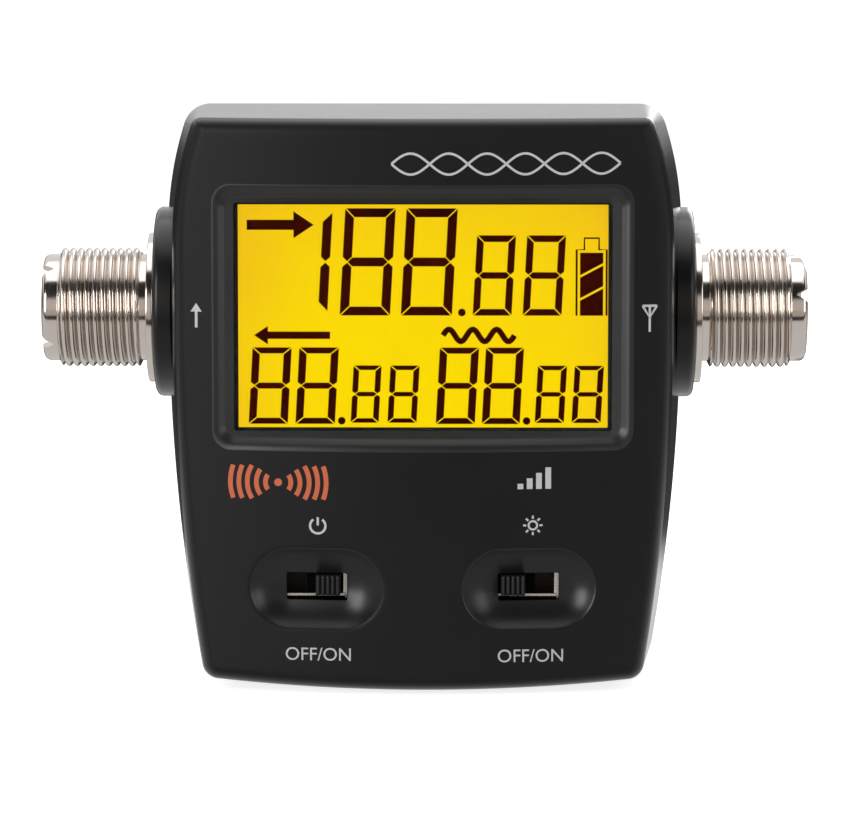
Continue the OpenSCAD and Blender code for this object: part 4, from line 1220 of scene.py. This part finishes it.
def make_knob(name, node, body, switches, finish, shade):
    """Knob with rounded upright ribs on its sliding flange."""
    low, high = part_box(node)
    middle = (low + high) / 2 + Vector((0, 0, switches.knob_rise))
    half = switches.knob_width / 2
    tall = switches.knob_height / 2
    per_rib = 12
    columns = switches.ribs * per_rib
    ease = 0.2 * MM

    def depth(u, v):
        """Depth below the knob's top: grooves between the ribs, and rounded ends."""
        wave = abs(math.sin(math.pi * switches.ribs * u))
        groove = switches.rib_depth * (1 - wave ** 0.7)
        ends = max(abs(v) * tall - (tall - ease), 0)
        return groove + ease - math.sqrt(max(ease * ease - ends * ends, 0))

    skin = Skin()
    levels = [-1, -0.985, -0.95, -0.9, -0.85, -0.4, 0, 0.4, 0.85, 0.9, 0.95, 0.985, 1]
    grid = []
    for v in levels:
        row = []
        for i in range(columns + 1):
            u = i / columns
            row.append((middle.x + (2 * u - 1) * half, low.y + depth(u, v), middle.z + v * tall))
        grid.append(skin.ring(row))
    for first, second in zip(grid, grid[1:]):
        for i in range(columns):
            skin.face((first[i], first[i + 1], second[i + 1], second[i]))
    inner = grid[1:-1]
    border = grid[0] + [row[-1] for row in inner] + grid[-1][::-1] + [row[0] for row in reversed(inner)]
    draft = 0.93
    edge = [skin.points[k] for k in border]
    root = [(p.x, high.y - 0.4 * MM, middle.z + (p.z - middle.z) * draft) for p in edge]
    skin.face(skin.extend(border, [root]))
    knob = skin.piece(name, finish, shade, angle=40)
    # The flange takes the second finish, a darker copy of the knob plastic without reflection: painted shade deep
    # in the slot.
    flange = block((low.x, high.y - 1.2 * MM, low.z), (high.x, high.y, high.z), finish, shade)
    carve(knob, [flange], "UNION")
    soften(knob, 40)
    seat(knob, body, "knob_plastic", node)


def make_lip(name, node, switches, finishes):
    """Folded edge of a switch's metal frame below the knob, and under it a dark strip of painted shade for the
    shadow below the lip.
    """
    low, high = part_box(node)
    x = (low.x + high.x) / 2
    half = switches.slot_length / 2 - 0.08 * MM
    bottom = switches.height - switches.slot_height / 2 + 0.08 * MM
    fold = switches.height - switches.slot_height / 2 + switches.lip_rise
    top = fold + switches.lip_height
    back = low.y - 0.02 * MM
    near = low.y - switches.lip_depth
    r = 0.1 * MM
    bright = [(near, fold)] + [(near + d, top - r + al) for al, d in fillet(r, 4)] + [(back, top), (back, fold)]
    # The second profile is a black strip of painted shade, set where the slot's lower edge throws its shadow under
    # the lip.
    sunk, under = near + 0.12 * MM, fold - 0.01 * MM
    dark = [(sunk, bottom), (sunk, under), (back, under), (back, bottom)]
    skin = Skin()
    for finish, profile in enumerate((bright, dark)):
        ends = [skin.ring([(x + side * half, y, z) for y, z in profile]) for side in (-1, 1)]
        skin.bridge(*ends, finish)
        for end in ends:
            skin.face(end, finish)
    seat(skin.piece(name, *finishes), "case", "switch_steel")


# Sockets

def socket_rows(sockets, ends):
    """Rows of the socket's skin as functions of the turn, in places along the axis and radii."""
    inner, face, tip = ends
    flange_face = face + sockets.flange
    start = flange_face + sockets.neck
    stop = start + sockets.turns * sockets.pitch + sockets.runout
    root = MOUNTS["antenna_thread"]["dims"]["r_mm"] * MM - sockets.thread_depth
    plain = sockets.neck_radius
    r = 0.18 * MM

    def fixed(place, radius):
        return lambda turn: (place, radius)

    rows = [fixed(inner, sockets.throat_radius), fixed(inner, sockets.shank_radius - r),
            fixed(inner + r, sockets.shank_radius), fixed(face, sockets.shank_radius),
            fixed(face, sockets.flange_radius - r)]
    rim = fillet(r, 3)
    rows += [fixed(face + r - al, sockets.flange_radius - d) for al, d in reversed(rim)]
    rows += [fixed(flange_face - r + al, sockets.flange_radius - d) for al, d in rim]
    fold = 0.1 * MM
    rows += [fixed(flange_face, plain + fold), fixed(flange_face + fold, plain), fixed(start, plain)]
    shares = (0, 0.06, 0.14, 0.25, 0.38, 0.5, 0.62, 0.75, 0.86, 0.94)
    span = stop - start

    def thread(count, share):
        """Row on a turn of the thread, whose crests are broad and round and whose grooves are narrow."""
        height = 1 - abs(2 * share - 1) ** 2.3

        def row(turn):
            along = (count - 1 + share + turn) * sockets.pitch
            along = min(max(along, 0), span)
            fade = min(along, span - along) / (0.3 * sockets.pitch)
            return start + along, root + sockets.thread_depth * height * min(fade, 1)
        return row

    rows.append(fixed(start, root))
    first = len(rows)
    for count in range(sockets.turns + 2):
        rows += [thread(count, share) for share in shares]
    threaded = range(first, len(rows))
    rows.append(fixed(stop, root))
    rows.append(fixed(stop + 0.02 * MM, plain))
    big = 0.75 * MM
    rows += [fixed(tip - big + al, plain - d) for al, d in fillet(big, 6)][:-1]
    rows += [fixed(tip, plain - big + 0.05 * MM), fixed(tip, sockets.mouth_radius + 0.1 * MM),
             fixed(tip - 0.12 * MM, sockets.mouth_radius)]
    throat = flange_face + 1.8 * MM + sockets.neck
    rows += [fixed(throat, sockets.mouth_radius), fixed(throat, sockets.throat_radius)]
    return rows, threaded


def make_socket(name, node, side, notch_turn, sockets, finishes):
    """Threaded socket with a true helical thread and four V-shaped notches in its end."""
    low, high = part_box(node)
    inner, tip = sorted((abs(low.x), abs(high.x)))
    face = max(abs(v.x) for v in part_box("antenna_collar"))
    rows, threaded = socket_rows(sockets, (inner, face, tip))
    columns = 120
    skin = Skin()
    rings = []
    for row in rows:
        points = []
        for k in range(columns + 1):
            turn = k / columns
            along, radius = row(turn)
            angle = 2 * math.pi * turn
            points.append((side * along, SOCKET_AXIS.y + side * radius * math.cos(angle),
                           SOCKET_AXIS.z + radius * math.sin(angle)))
        rings.append(skin.ring(points))
    for place, (first, second) in enumerate(zip(rings, rings[1:] + rings[:1])):
        for k in range(columns):
            skin.face((first[k], first[k + 1], second[k + 1], second[k]), int(place in threaded))
    socket = skin.piece(name, *finishes, angle=35)
    root = 0.1 * MM
    over = MM
    slope = (sockets.notch_width / 2 - root) / sockets.notch_depth
    spread = sockets.notch_width / 2 + slope * over
    deep = tip - sockets.notch_depth
    corners = ((deep, -root), (deep, root), (tip + over, spread), (tip + over, -spread))
    depths = (sockets.mouth_radius - 1.5 * MM, sockets.neck_radius + MM)
    cuts = []
    for k in range(4):
        notch = loft([[(x, y, z) for x, z in corners] for y in depths], finishes[0])
        turn = Matrix.Rotation(math.radians(notch_turn + 90 * k), 4, "X")
        way = Matrix.Rotation(0 if side > 0 else math.pi, 4, "Z")
        notch.data.transform(Matrix.Translation((0, SOCKET_AXIS.y, SOCKET_AXIS.z)) @ way @ turn)
        cuts.append(notch)
    carve(socket, cuts)
    soften(socket, 35)
    seat(socket, "case", "nickel", node)


def make_collar(name, node, side, sockets, finish):
    """Black collar: a spigot in the case, and a disc with a rounded rim that sits a little higher."""
    low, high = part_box(node)
    inner, face = sorted((abs(low.x), abs(high.x)))
    seat_x = face - 2.5 * MM
    bore = sockets.shank_radius + 0.05 * MM
    rim = 0.9 * MM
    rise = sockets.collar_rise
    rows = [(inner, bore, 0), (inner, sockets.spigot_radius, 0), (seat_x, sockets.spigot_radius, 0),
            (seat_x, sockets.collar_radius, rise)]
    rows += [(face - rim + al, sockets.collar_radius - d, rise) for al, d in fillet(rim, 5)]
    rows += [(face, sockets.flange_radius + 0.6 * MM, rise / 2), (face, bore, 0)]
    skin = Skin()
    rings = []
    for along, radius, up in rows:
        rings.append(skin.ring([(side * along, SOCKET_AXIS.y + radius * math.cos(a),
                                 SOCKET_AXIS.z + up + radius * math.sin(a)) for a in full_turn(128)]))
    for first, second in zip(rings, rings[1:] + rings[:1]):
        skin.bridge(first, second)
    collar = skin.piece(name, finish)
    even_normals(collar)
    seat(collar, "case", "collar_plastic", node)


# Wire

def winding_path(core, wire, turns, per_turn=24):
    """One wire round a ring core's section, through most of a turn of the core."""
    inner, outer, thick = core
    mid = (inner + outer) / 2
    dr = (outer - inner) / 2 + wire + 0.3 * MM
    dh = thick / 2 + wire + 0.3 * MM
    count = turns * per_turn
    path = []
    for i in range(count - per_turn // 8):
        a = math.radians(330) * i / count
        p = 2 * math.pi * i / per_turn
        c, s = math.cos(p), math.sin(p)
        swell = 1 / max(abs(c), abs(s), 0.78)
        r = mid + dr * c * swell
        path.append((r * math.cos(a), r * math.sin(a), dh * s * swell))
    return path


def ring_core(node, axis):
    """Middle, inner and outer radius and thickness of a ring core."""
    low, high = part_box(node)
    size = high - low
    thick = size.x if axis == "X" else size.y
    outer = size.z / 2
    return (low + high) / 2, (outer - 1.9 * MM, outer, thick)


def make_winding(name, node, core_node, axis, finish):
    """Winding of ten turns of wire on a ring core."""
    wire = 0.3 * MM
    middle, core = ring_core(core_node, axis)
    turn = Matrix.Rotation(math.pi / 2, 4, "Y" if axis == "X" else "X")
    path = [middle + turn @ Vector(p) for p in winding_path(core, wire, 10)]
    seat(tube(name, path, wire, finish), "case", "winding_wire", node)


def make_springs(finish):
    """Three conical springs behind the cells' flat ends."""
    low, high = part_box("battery_cells")
    gap = 0.4 * MM
    third = (high.z - low.z - 2 * gap) / 3
    middle_y = (low.y + high.y) / 2
    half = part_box("battery_plates")[1].x - gap
    wire = 0.3 * MM
    room = 4.2 * MM - wire
    turns = 3
    count = turns * 28
    for k in range(3):
        way = -1 if k % 2 == 0 else 1
        z = low.z + third / 2 + k * (third + gap)
        path = []
        for i in range(count + 1):
            t = i / count
            r = (3.6 - 1.6 * t) * MM
            a = 2 * math.pi * turns * t
            x = way * (half - wire - (room - 2 * wire) * t)
            path.append((x, middle_y + r * math.cos(a), z + r * math.sin(a)))
        seat(tube(f"spring_{k + 1}", path, wire, finish), "case", "tinplate", "battery_springs")


def make_leads(red, black):
    """Two leads from the end tabs of the bay to the main board."""
    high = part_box("battery_leads")[1]
    low_z, high_z = (corner.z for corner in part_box("battery_cells"))
    third = (high_z - low_z) / 3
    radius = 0.6 * MM
    end_z = high.z - radius
    y0 = high.y
    y1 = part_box("main_board")[1].y + radius
    mid = (y0 + y1) / 2
    for side, finish, name in ((1, red, "lead_red"), (-1, black, "lead_black")):
        x = side * (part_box("battery_plates")[1].x - 0.2 * MM)
        z = low_z + third / 2 if side > 0 else high_z - third / 2
        end_x = side * 16 * MM
        path = [(x, y0, z), (x, y0 - 2 * MM, z),
                (x - side * 0.6 * MM, mid + 2 * MM, z + (end_z - z) * 0.12),
                (x - side * 1.6 * MM, mid, (z + end_z) / 2),
                (end_x + side * 1.5 * MM, mid - MM, end_z + (z - end_z) * 0.12),
                (end_x, y1 + 2 * MM, end_z), (end_x, y1, end_z)]
        seat(tube(name, path, radius, finish), "case", "lead_sleeve", "battery_leads")


# Stage

def point_at(thing, place, aim):
    """Puts a lamp or a camera at a place, turned towards its aim."""
    thing.location = place
    thing.rotation_mode = "QUATERNION"
    thing.rotation_quaternion = (Vector(aim) - Vector(place)).to_track_quat("-Z", "Y")


def area_lamp(name, place, aim, size, power):
    data = bpy.data.lights.new(name, "AREA")
    data.shape = "RECTANGLE"
    data.size, data.size_y = size
    data.energy = power
    point_at(add_object(name, data), place, aim)


def make_camera(settings):
    data = bpy.data.cameras.new("camera")
    data.lens = settings.lens
    data.sensor_width = 36
    data.clip_start = 0.01
    a, e = settings.azimuth, settings.elevation
    back = Vector((math.sin(a) * math.cos(e), -math.cos(a) * math.cos(e), math.sin(e)))
    camera = add_object("camera", data)
    point_at(camera, Vector(settings.aim) + back * settings.distance, settings.aim)
    return camera


def ray_kinds(graph):
    """1 for rays that show the background straight or through the window, and 1 for mirrored ones."""
    path = graph.add("ShaderNodeLightPath", {}, {}).socket.node
    camera, through, mirrored = (Value(graph, path.outputs[f"Is {kind} Ray"])
                                 for kind in ("Camera", "Transmission", "Glossy"))
    return camera.larger(through), mirrored


def studio_world():
    """White background for the camera; for the rest a room with a white back and a dim front."""
    world = bpy.data.worlds.new("studio")
    world.use_nodes = True
    bpy.context.scene.world = world
    graph = Graph(world.node_tree)
    way = graph.add("ShaderNodeTexCoord", {}, {}, "Generated")
    across, behind, up = graph.split(way)
    height = up * 0.5 + 0.5
    straight, mirrored = ray_kinds(graph)
    front = graph.ramp(height, (0.5, (0.6, 0.55, 0.52)), (0.67, (0.57, 0.52, 0.49)),
                       (0.73, 0.02), (0.94, 0.02), (0.965, 0.9))
    back = graph.ramp(height, (0.5, 0.62), (0.58, 0.68), (0.66, 0.9))
    low_corners = ((0.3 - up) * 6.0).clip() * ((abs(across) - 0.15) * 10.0).clip()
    back = graph.blend(low_corners, back, 0.05)
    room = graph.blend((behind * 4.0 + 0.5).clip(), front, back)
    lit = graph.blend(mirrored, 0.3, room)
    background = world.node_tree.nodes["Background"]
    graph.feed(background.inputs["Color"], graph.blend(straight, lit, 1))


def make_floor(base):
    """Pale floor that is white to the camera and keeps the meter's shadow; metal mirrors it in bands."""
    skin = Skin()
    reach, level = 3.0, -0.05 * MM
    corners = ((-reach, -reach), (reach, -reach), (reach, reach), (-reach, reach))
    skin.face(skin.ring([(x, y, level) for x, y in corners]))
    finish = Finish("pale floor", roughness=0.9, specular_ior_level=0.0, emission_strength=0.8)
    cloud = finish.noise(12, 2)
    straight, mirrored = ray_kinds(finish)
    pale = finish.blend(cloud * 0.1, base, [c * 0.97 for c in base])
    finish.set("Base Color", finish.blend(mirrored, pale, 0))
    # To mirrored rays the floor has no colour of its own, only glowing bands of light and dark: a painted room
    # that metal reflects.
    bands = finish.ramp(finish.along("Y") * 2.0 + 0.5, (0.09, (0.62, 0.55, 0.5)), (0.11, 0.03),
                        (0.26, 0.03), (0.28, (0.82, 0.8, 0.78)), (0.66, 0.86), (0.74, 0.05))
    white = finish.blend(straight, 0, 1)
    finish.set("Emission Color", finish.blend(mirrored, white, bands))
    skin.piece("floor", finish)


# Operators

class METER_OT_stage(bpy.types.Operator):
    """Camera, lamps, world and floor"""
    bl_idname = "meter.stage"
    bl_label = "Stage"

    def execute(self, context):
        scene = context.scene
        settings = scene.meter_stage
        scene.view_settings.view_transform = "Standard"
        scene.camera = make_camera(settings)
        target = (0, 0, 0.04)
        area_lamp("left softbox", (-0.5, -0.62, 0.22), target, (0.28, 0.5), 4.2)
        area_lamp("right softbox", (0.62, -0.5, 0.2), target, (0.3, 0.6), 1.6)
        area_lamp("top softbox", (0, 0.04, 0.75), (0, 0.04, 0), (1.1, 0.8), 2.9)
        area_lamp("back softbox", (0.35, 0.75, 0.35), target, (0.5, 0.4), 1.4)
        studio_world()
        make_floor(settings.floor)
        return {"FINISHED"}


class METER_OT_shells(bpy.types.Operator):
    """Front and rear shells of the case"""
    bl_idname = "meter.shells"
    bl_label = "Case shells"

    def execute(self, context):
        scene = context.scene
        form = CaseForm(scene.meter_case)
        base = scene.meter_colours.case
        grained = plastic("case plastic", base, 0.5, specular=0.17, sheen=1.0)
        smooth = plastic("smooth plastic", base, 0.32, 3000, 0.002 * MM, 0.36, 0.05)
        # The frame's outer slope is glossier than the face; its colour, 1.4 times the case's, is painted light.
        satin = plastic("frame plastic", [c * 1.4 for c in base], 0.38, 3600, 0.006 * MM, 0.5)
        # The frame's inner slope is the case plastic seven times lighter and without reflection: painted light
        # standing in for the light it catches.
        painted_tone = plastic("frame inner slope painted light", [c * 7 for c in base], 0.6, 3600, 0.006 * MM, 0.0)
        # The walls of the slots are the case plastic at half its colour and without reflection: painted shade
        # inside the slots.
        black = plastic("slot wall painted shade", [c * 0.5 for c in base], 0.7, 2600, 0.01 * MM, 0.0)
        make_front_shell(form, scene.meter_display, scene.meter_switches, scene.meter_sockets,
                         (grained, smooth, satin, painted_tone, black))
        make_rear_shell(form, scene.meter_sockets, grained)
        return {"FINISHED"}


class METER_OT_prints(bpy.types.Operator):
    """Light and orange print on the front face"""
    bl_idname = "meter.prints"
    bl_label = "Front print"

    def execute(self, context):
        scene = context.scene
        form = CaseForm(scene.meter_case)

        def place(x, z, lift):
            return Vector((x, form.face_y(x) + 0.006 * MM - lift, z))

        grey = standing_wave(-4.0, 25.5, 69.35, 1.35, 6, 0.3)
        grey += rising_bars(12.3, 27.2, 4, 1.2, 0.75, 0.7)
        grey += power_sign((-13.6, 22.35), 1.0, 0.3)
        grey += lamp_sign((14.3, 22.45), 1.1, 0.26)
        grey += word_mesh("OFF/ON", 8.5, (-13.58, 5.49))
        grey += word_mesh("OFF/ON", 8.5, (14.03, 5.34))
        grey += arrow((-29.4, 47.9), (-29.4, 51.1), 0.35, 0.75)
        grey += antenna_sign((29.4, 49.1), 1.7, 0.3)
        orange = radio_waves((-18.75, 27.95), 4.6, 0.62)
        colours = scene.meter_colours
        prints = (("grey_print", grey, colours.print_grey), ("orange_print", orange, colours.print_orange))
        for name, shapes, base in prints:
            piece = plate(name, shapes, place, 0.026 * MM, ink(name, base))
            seat(piece, "case", "case_plastic")
        return {"FINISHED"}


class METER_OT_display(bpy.types.Operator):
    """Window, lit panel, dark border and segments of the display"""
    bl_idname = "meter.display"
    bl_label = "Display"

    def execute(self, context):
        scene = context.scene
        display = scene.meter_display
        keep_solid("window_lens", clear_window(), 0.15 * MM)
        low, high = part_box("lcd_panel")
        middle = (low + high) / 2
        keep_solid("lcd_panel", lit_picture(scene.meter_colours, low, high), 0.1 * MM)
        half = (display.view_width / 2, display.view_height / 2)
        outer = rounded(high.x - low.x, high.z - low.z, 0.3 * MM, (0, middle.z), 4, 6)
        inner = rounded(2 * half[0], 2 * half[1], 0.1 * MM, (0, middle.z), 4, 6)
        skin = Skin()
        back, front = low.y - 0.02 * MM, low.y - 0.05 * MM
        last = skin.rings([flat(outer, back), flat(outer, front), flat(inner, front), flat(inner, back)])
        skin.bridge(last, list(range(len(outer))))
        border = skin.piece("display_border", plastic("border black", (0.004, 0.004, 0.004), 0.5))
        seat(border, "case", "holder_plastic")

        def place(x, z, lift):
            return Vector((x, back - lift, z))

        base = scene.meter_colours.segment
        dark = Finish("display segment", specular_ior_level=0.0)
        fine = dark.noise(1500, 2)
        dark.set("Base Color", dark.blend(fine, base, [c * 1.6 for c in base]))
        dark.set("Roughness", 0.5 + fine * 0.2)
        segments = plate("display_segments", display_shapes((0, middle.z / MM)), place, 0.03 * MM, dark)
        seat(segments, "case", "amber_lcd")
        return {"FINISHED"}


class METER_OT_switches(bpy.types.Operator):
    """Slide-switch knobs, frames, bases and contacts"""
    bl_idname = "meter.switches"
    bl_label = "Slide switches"

    def execute(self, context):
        scene = context.scene
        switches = scene.meter_switches
        black = plastic("knob plastic", (0.008, 0.008, 0.0084), 0.38, 3500, 0.003 * MM, 0.32, 0.06)
        # A darker copy of the knob plastic without reflection: painted shade for the knobs' flanges and the strips
        # under the lips.
        painted_tone = plastic("slot black painted shade", (0.003, 0.003, 0.003), 0.7, 2600, 0.01 * MM, 0.0)
        bright = metal("bright tin", (0.78, 0.75, 0.7), 0.28, (1, 1, 6))
        brown = plastic("brown laminate", (0.022, 0.012, 0.008), 0.6, 1500, 0.01 * MM)
        brass = metal("spring brass", (0.75, 0.52, 0.2), 0.25)
        for name in ("power", "lamp"):
            make_knob(f"{name}_switch_knob", f"{name}_slider", f"{name}_knob", switches, black, painted_tone)
            make_lip(f"{name}_switch_lip", f"{name}_switch_frame", switches, (bright, painted_tone))
            keep_solid(f"{name}_switch_frame", bright, 0.06 * MM)
            keep_solid(f"{name}_switch_base", brown, 0.06 * MM)
            keep_solid(f"{name}_contact", brass, 0.05 * MM)
        return {"FINISHED"}


class METER_OT_sockets(bpy.types.Operator):
    """Threaded sockets with their collars, insulators, contacts and nuts"""
    bl_idname = "meter.sockets"
    bl_label = "Sockets"

    def execute(self, context):
        scene = context.scene
        sockets = scene.meter_sockets
        base = scene.meter_colours.nickel
        nickel, thread = [metal(name, base, rough, (1, 0.15, 0.15), 3000, 0.001 * MM, 0.88)
                          for name, rough in (("nickel plate", 0.13), ("nickel thread", 0.17))]
        satin = plastic("collar plastic", (0.006, 0.006, 0.0064), 0.34, 3200, 0.004 * MM, 0.3, sheen=0.6)
        white = plastic("white insulator", (0.78, 0.77, 0.73), 0.5, 1800, 0.006 * MM, 0.4)
        silver = metal("silver contact", (0.8, 0.77, 0.68), 0.22)
        for name, side, notch in (("tx", -1, 51), ("antenna", 1, -20)):
            make_socket(f"{name}_threaded_socket", f"{name}_socket", side, notch, sockets, (nickel, thread))
            make_collar(f"{name}_round_collar", f"{name}_collar", side, sockets, satin)
            keep_solid(f"{name}_insulator", white, 0.12 * MM)
            keep_solid(f"{name}_contact", silver, 0.06 * MM)
            keep_solid(f"{name}_nut", nickel, 0.15 * MM)
        return {"FINISHED"}


class METER_OT_back(bpy.types.Operator):
    """Battery door, case screws and feet"""
    bl_idname = "meter.back"
    bl_label = "Back and feet"

    def execute(self, context):
        scene = context.scene
        grained = plastic("door plastic", scene.meter_colours.case, 0.52)
        keep_solid("battery_door", grained, 0.2 * MM)
        keep_solid("case_screws", metal("zinc screw", (0.55, 0.55, 0.56), 0.35), 0.12 * MM)
        keep_solid("feet", rubber("foot rubber", (0.018, 0.018, 0.018)), 0.3 * MM)
        return {"FINISHED"}


class METER_OT_batteries(bpy.types.Operator):
    """Cells, contact plates, springs and leads"""
    bl_idname = "meter.batteries"
    bl_label = "Batteries"

    def execute(self, context):
        tin = metal("tinned steel", (0.66, 0.66, 0.66), 0.3)
        keep_solid("battery_cells", cell_jacket(), 0.15 * MM)
        keep_solid("battery_plates", tin, 0.06 * MM)
        make_springs(tin)
        make_leads(rubber("red sleeve", (0.4, 0.02, 0.02)), rubber("black sleeve", (0.015, 0.015, 0.015)))
        return {"FINISHED"}


class METER_OT_insides(bpy.types.Operator):
    """Boards, display holder, sensor box and transformers"""
    bl_idname = "meter.insides"
    bl_label = "Insides"

    def execute(self, context):
        tin = metal("tin plate", (0.62, 0.63, 0.64), 0.32, (1, 8, 8))
        green = board_green()
        black = plastic("part black", (0.02, 0.02, 0.021), 0.5, 2400)
        ferrite = plastic("ferrite", (0.05, 0.05, 0.055), 0.6, 2600, 0.02 * MM)
        white = plastic("white sleeve", (0.75, 0.74, 0.7), 0.5)
        guide = plastic("guide amber", (0.8, 0.6, 0.25), 0.2, 900, 0.002 * MM, 0.5)
        steel = metal("small screw", (0.58, 0.58, 0.58), 0.33)
        brass = metal("line brass", (0.75, 0.52, 0.2), 0.25)
        blue = plastic("trimmer blue", (0.03, 0.12, 0.42), 0.4)
        finishes = {
            green: ("main_board", "sensor_board"),
            tin: ("sensor_box", "sensor_cover"),
            black: ("lcd_holder", "controller_chip", "link_header"),
            ferrite: ("current_core", "voltage_core"),
            white: ("line_sleeve",),
            guide: ("light_guide", "guide_lamps"),
            striped_rubber(): ("contact_strips",),
            steel: ("board_screws", "sensor_screws"),
            brass: ("line_conductor",),
            blue: ("sensor_trimmers",)}
        for finish, names in finishes.items():
            for name in names:
                keep_solid(name, finish, 0.08 * MM)
        copper = metal("winding copper", (0.62, 0.25, 0.1), 0.25)
        make_winding("current_wire", "current_winding", "current_core", "X", copper)
        make_winding("voltage_wire", "voltage_winding", "voltage_core", "Y", copper)
        return {"FINISHED"}


OPERATORS = (METER_OT_stage, METER_OT_shells, METER_OT_prints, METER_OT_display, METER_OT_switches,
             METER_OT_sockets, METER_OT_back, METER_OT_batteries, METER_OT_insides)
GROUPS = {"meter_case": CaseSizes, "meter_display": DisplaySizes, "meter_switches": SwitchSizes,
          "meter_sockets": SocketSizes, "meter_colours": MeterColours, "meter_stage": StageSettings}


class METER_PT_panel(bpy.types.Panel):
    """Sizes, colours and pieces of the meter"""
    bl_idname = "METER_PT_panel"
    bl_label = "Standing-Wave Meter"
    bl_space_type = "VIEW_3D"
    bl_region_type = "UI"
    bl_category = "Meter"

    def draw(self, context):
        for operator in OPERATORS:
            self.layout.operator(operator.bl_idname)
        for name, group in GROUPS.items():
            box = self.layout.box()
            for key in group.__annotations__:
                box.prop(getattr(context.scene, name), key)


def register():
    for group in GROUPS.values():
        bpy.utils.register_class(group)
    for operator in OPERATORS:
        bpy.utils.register_class(operator)
    bpy.utils.register_class(METER_PT_panel)
    for name, group in GROUPS.items():
        setattr(bpy.types.Scene, name, PointerProperty(type=group))


def unregister():
    for name in GROUPS:
        delattr(bpy.types.Scene, name)
    for thing in (METER_PT_panel, *reversed(OPERATORS), *GROUPS.values()):
        bpy.utils.unregister_class(thing)


def main():
    register()
    for operator in OPERATORS:
        group, name = operator.bl_idname.split(".")
        getattr(getattr(bpy.ops, group), name)()


if __name__ == "__main__":
    main()
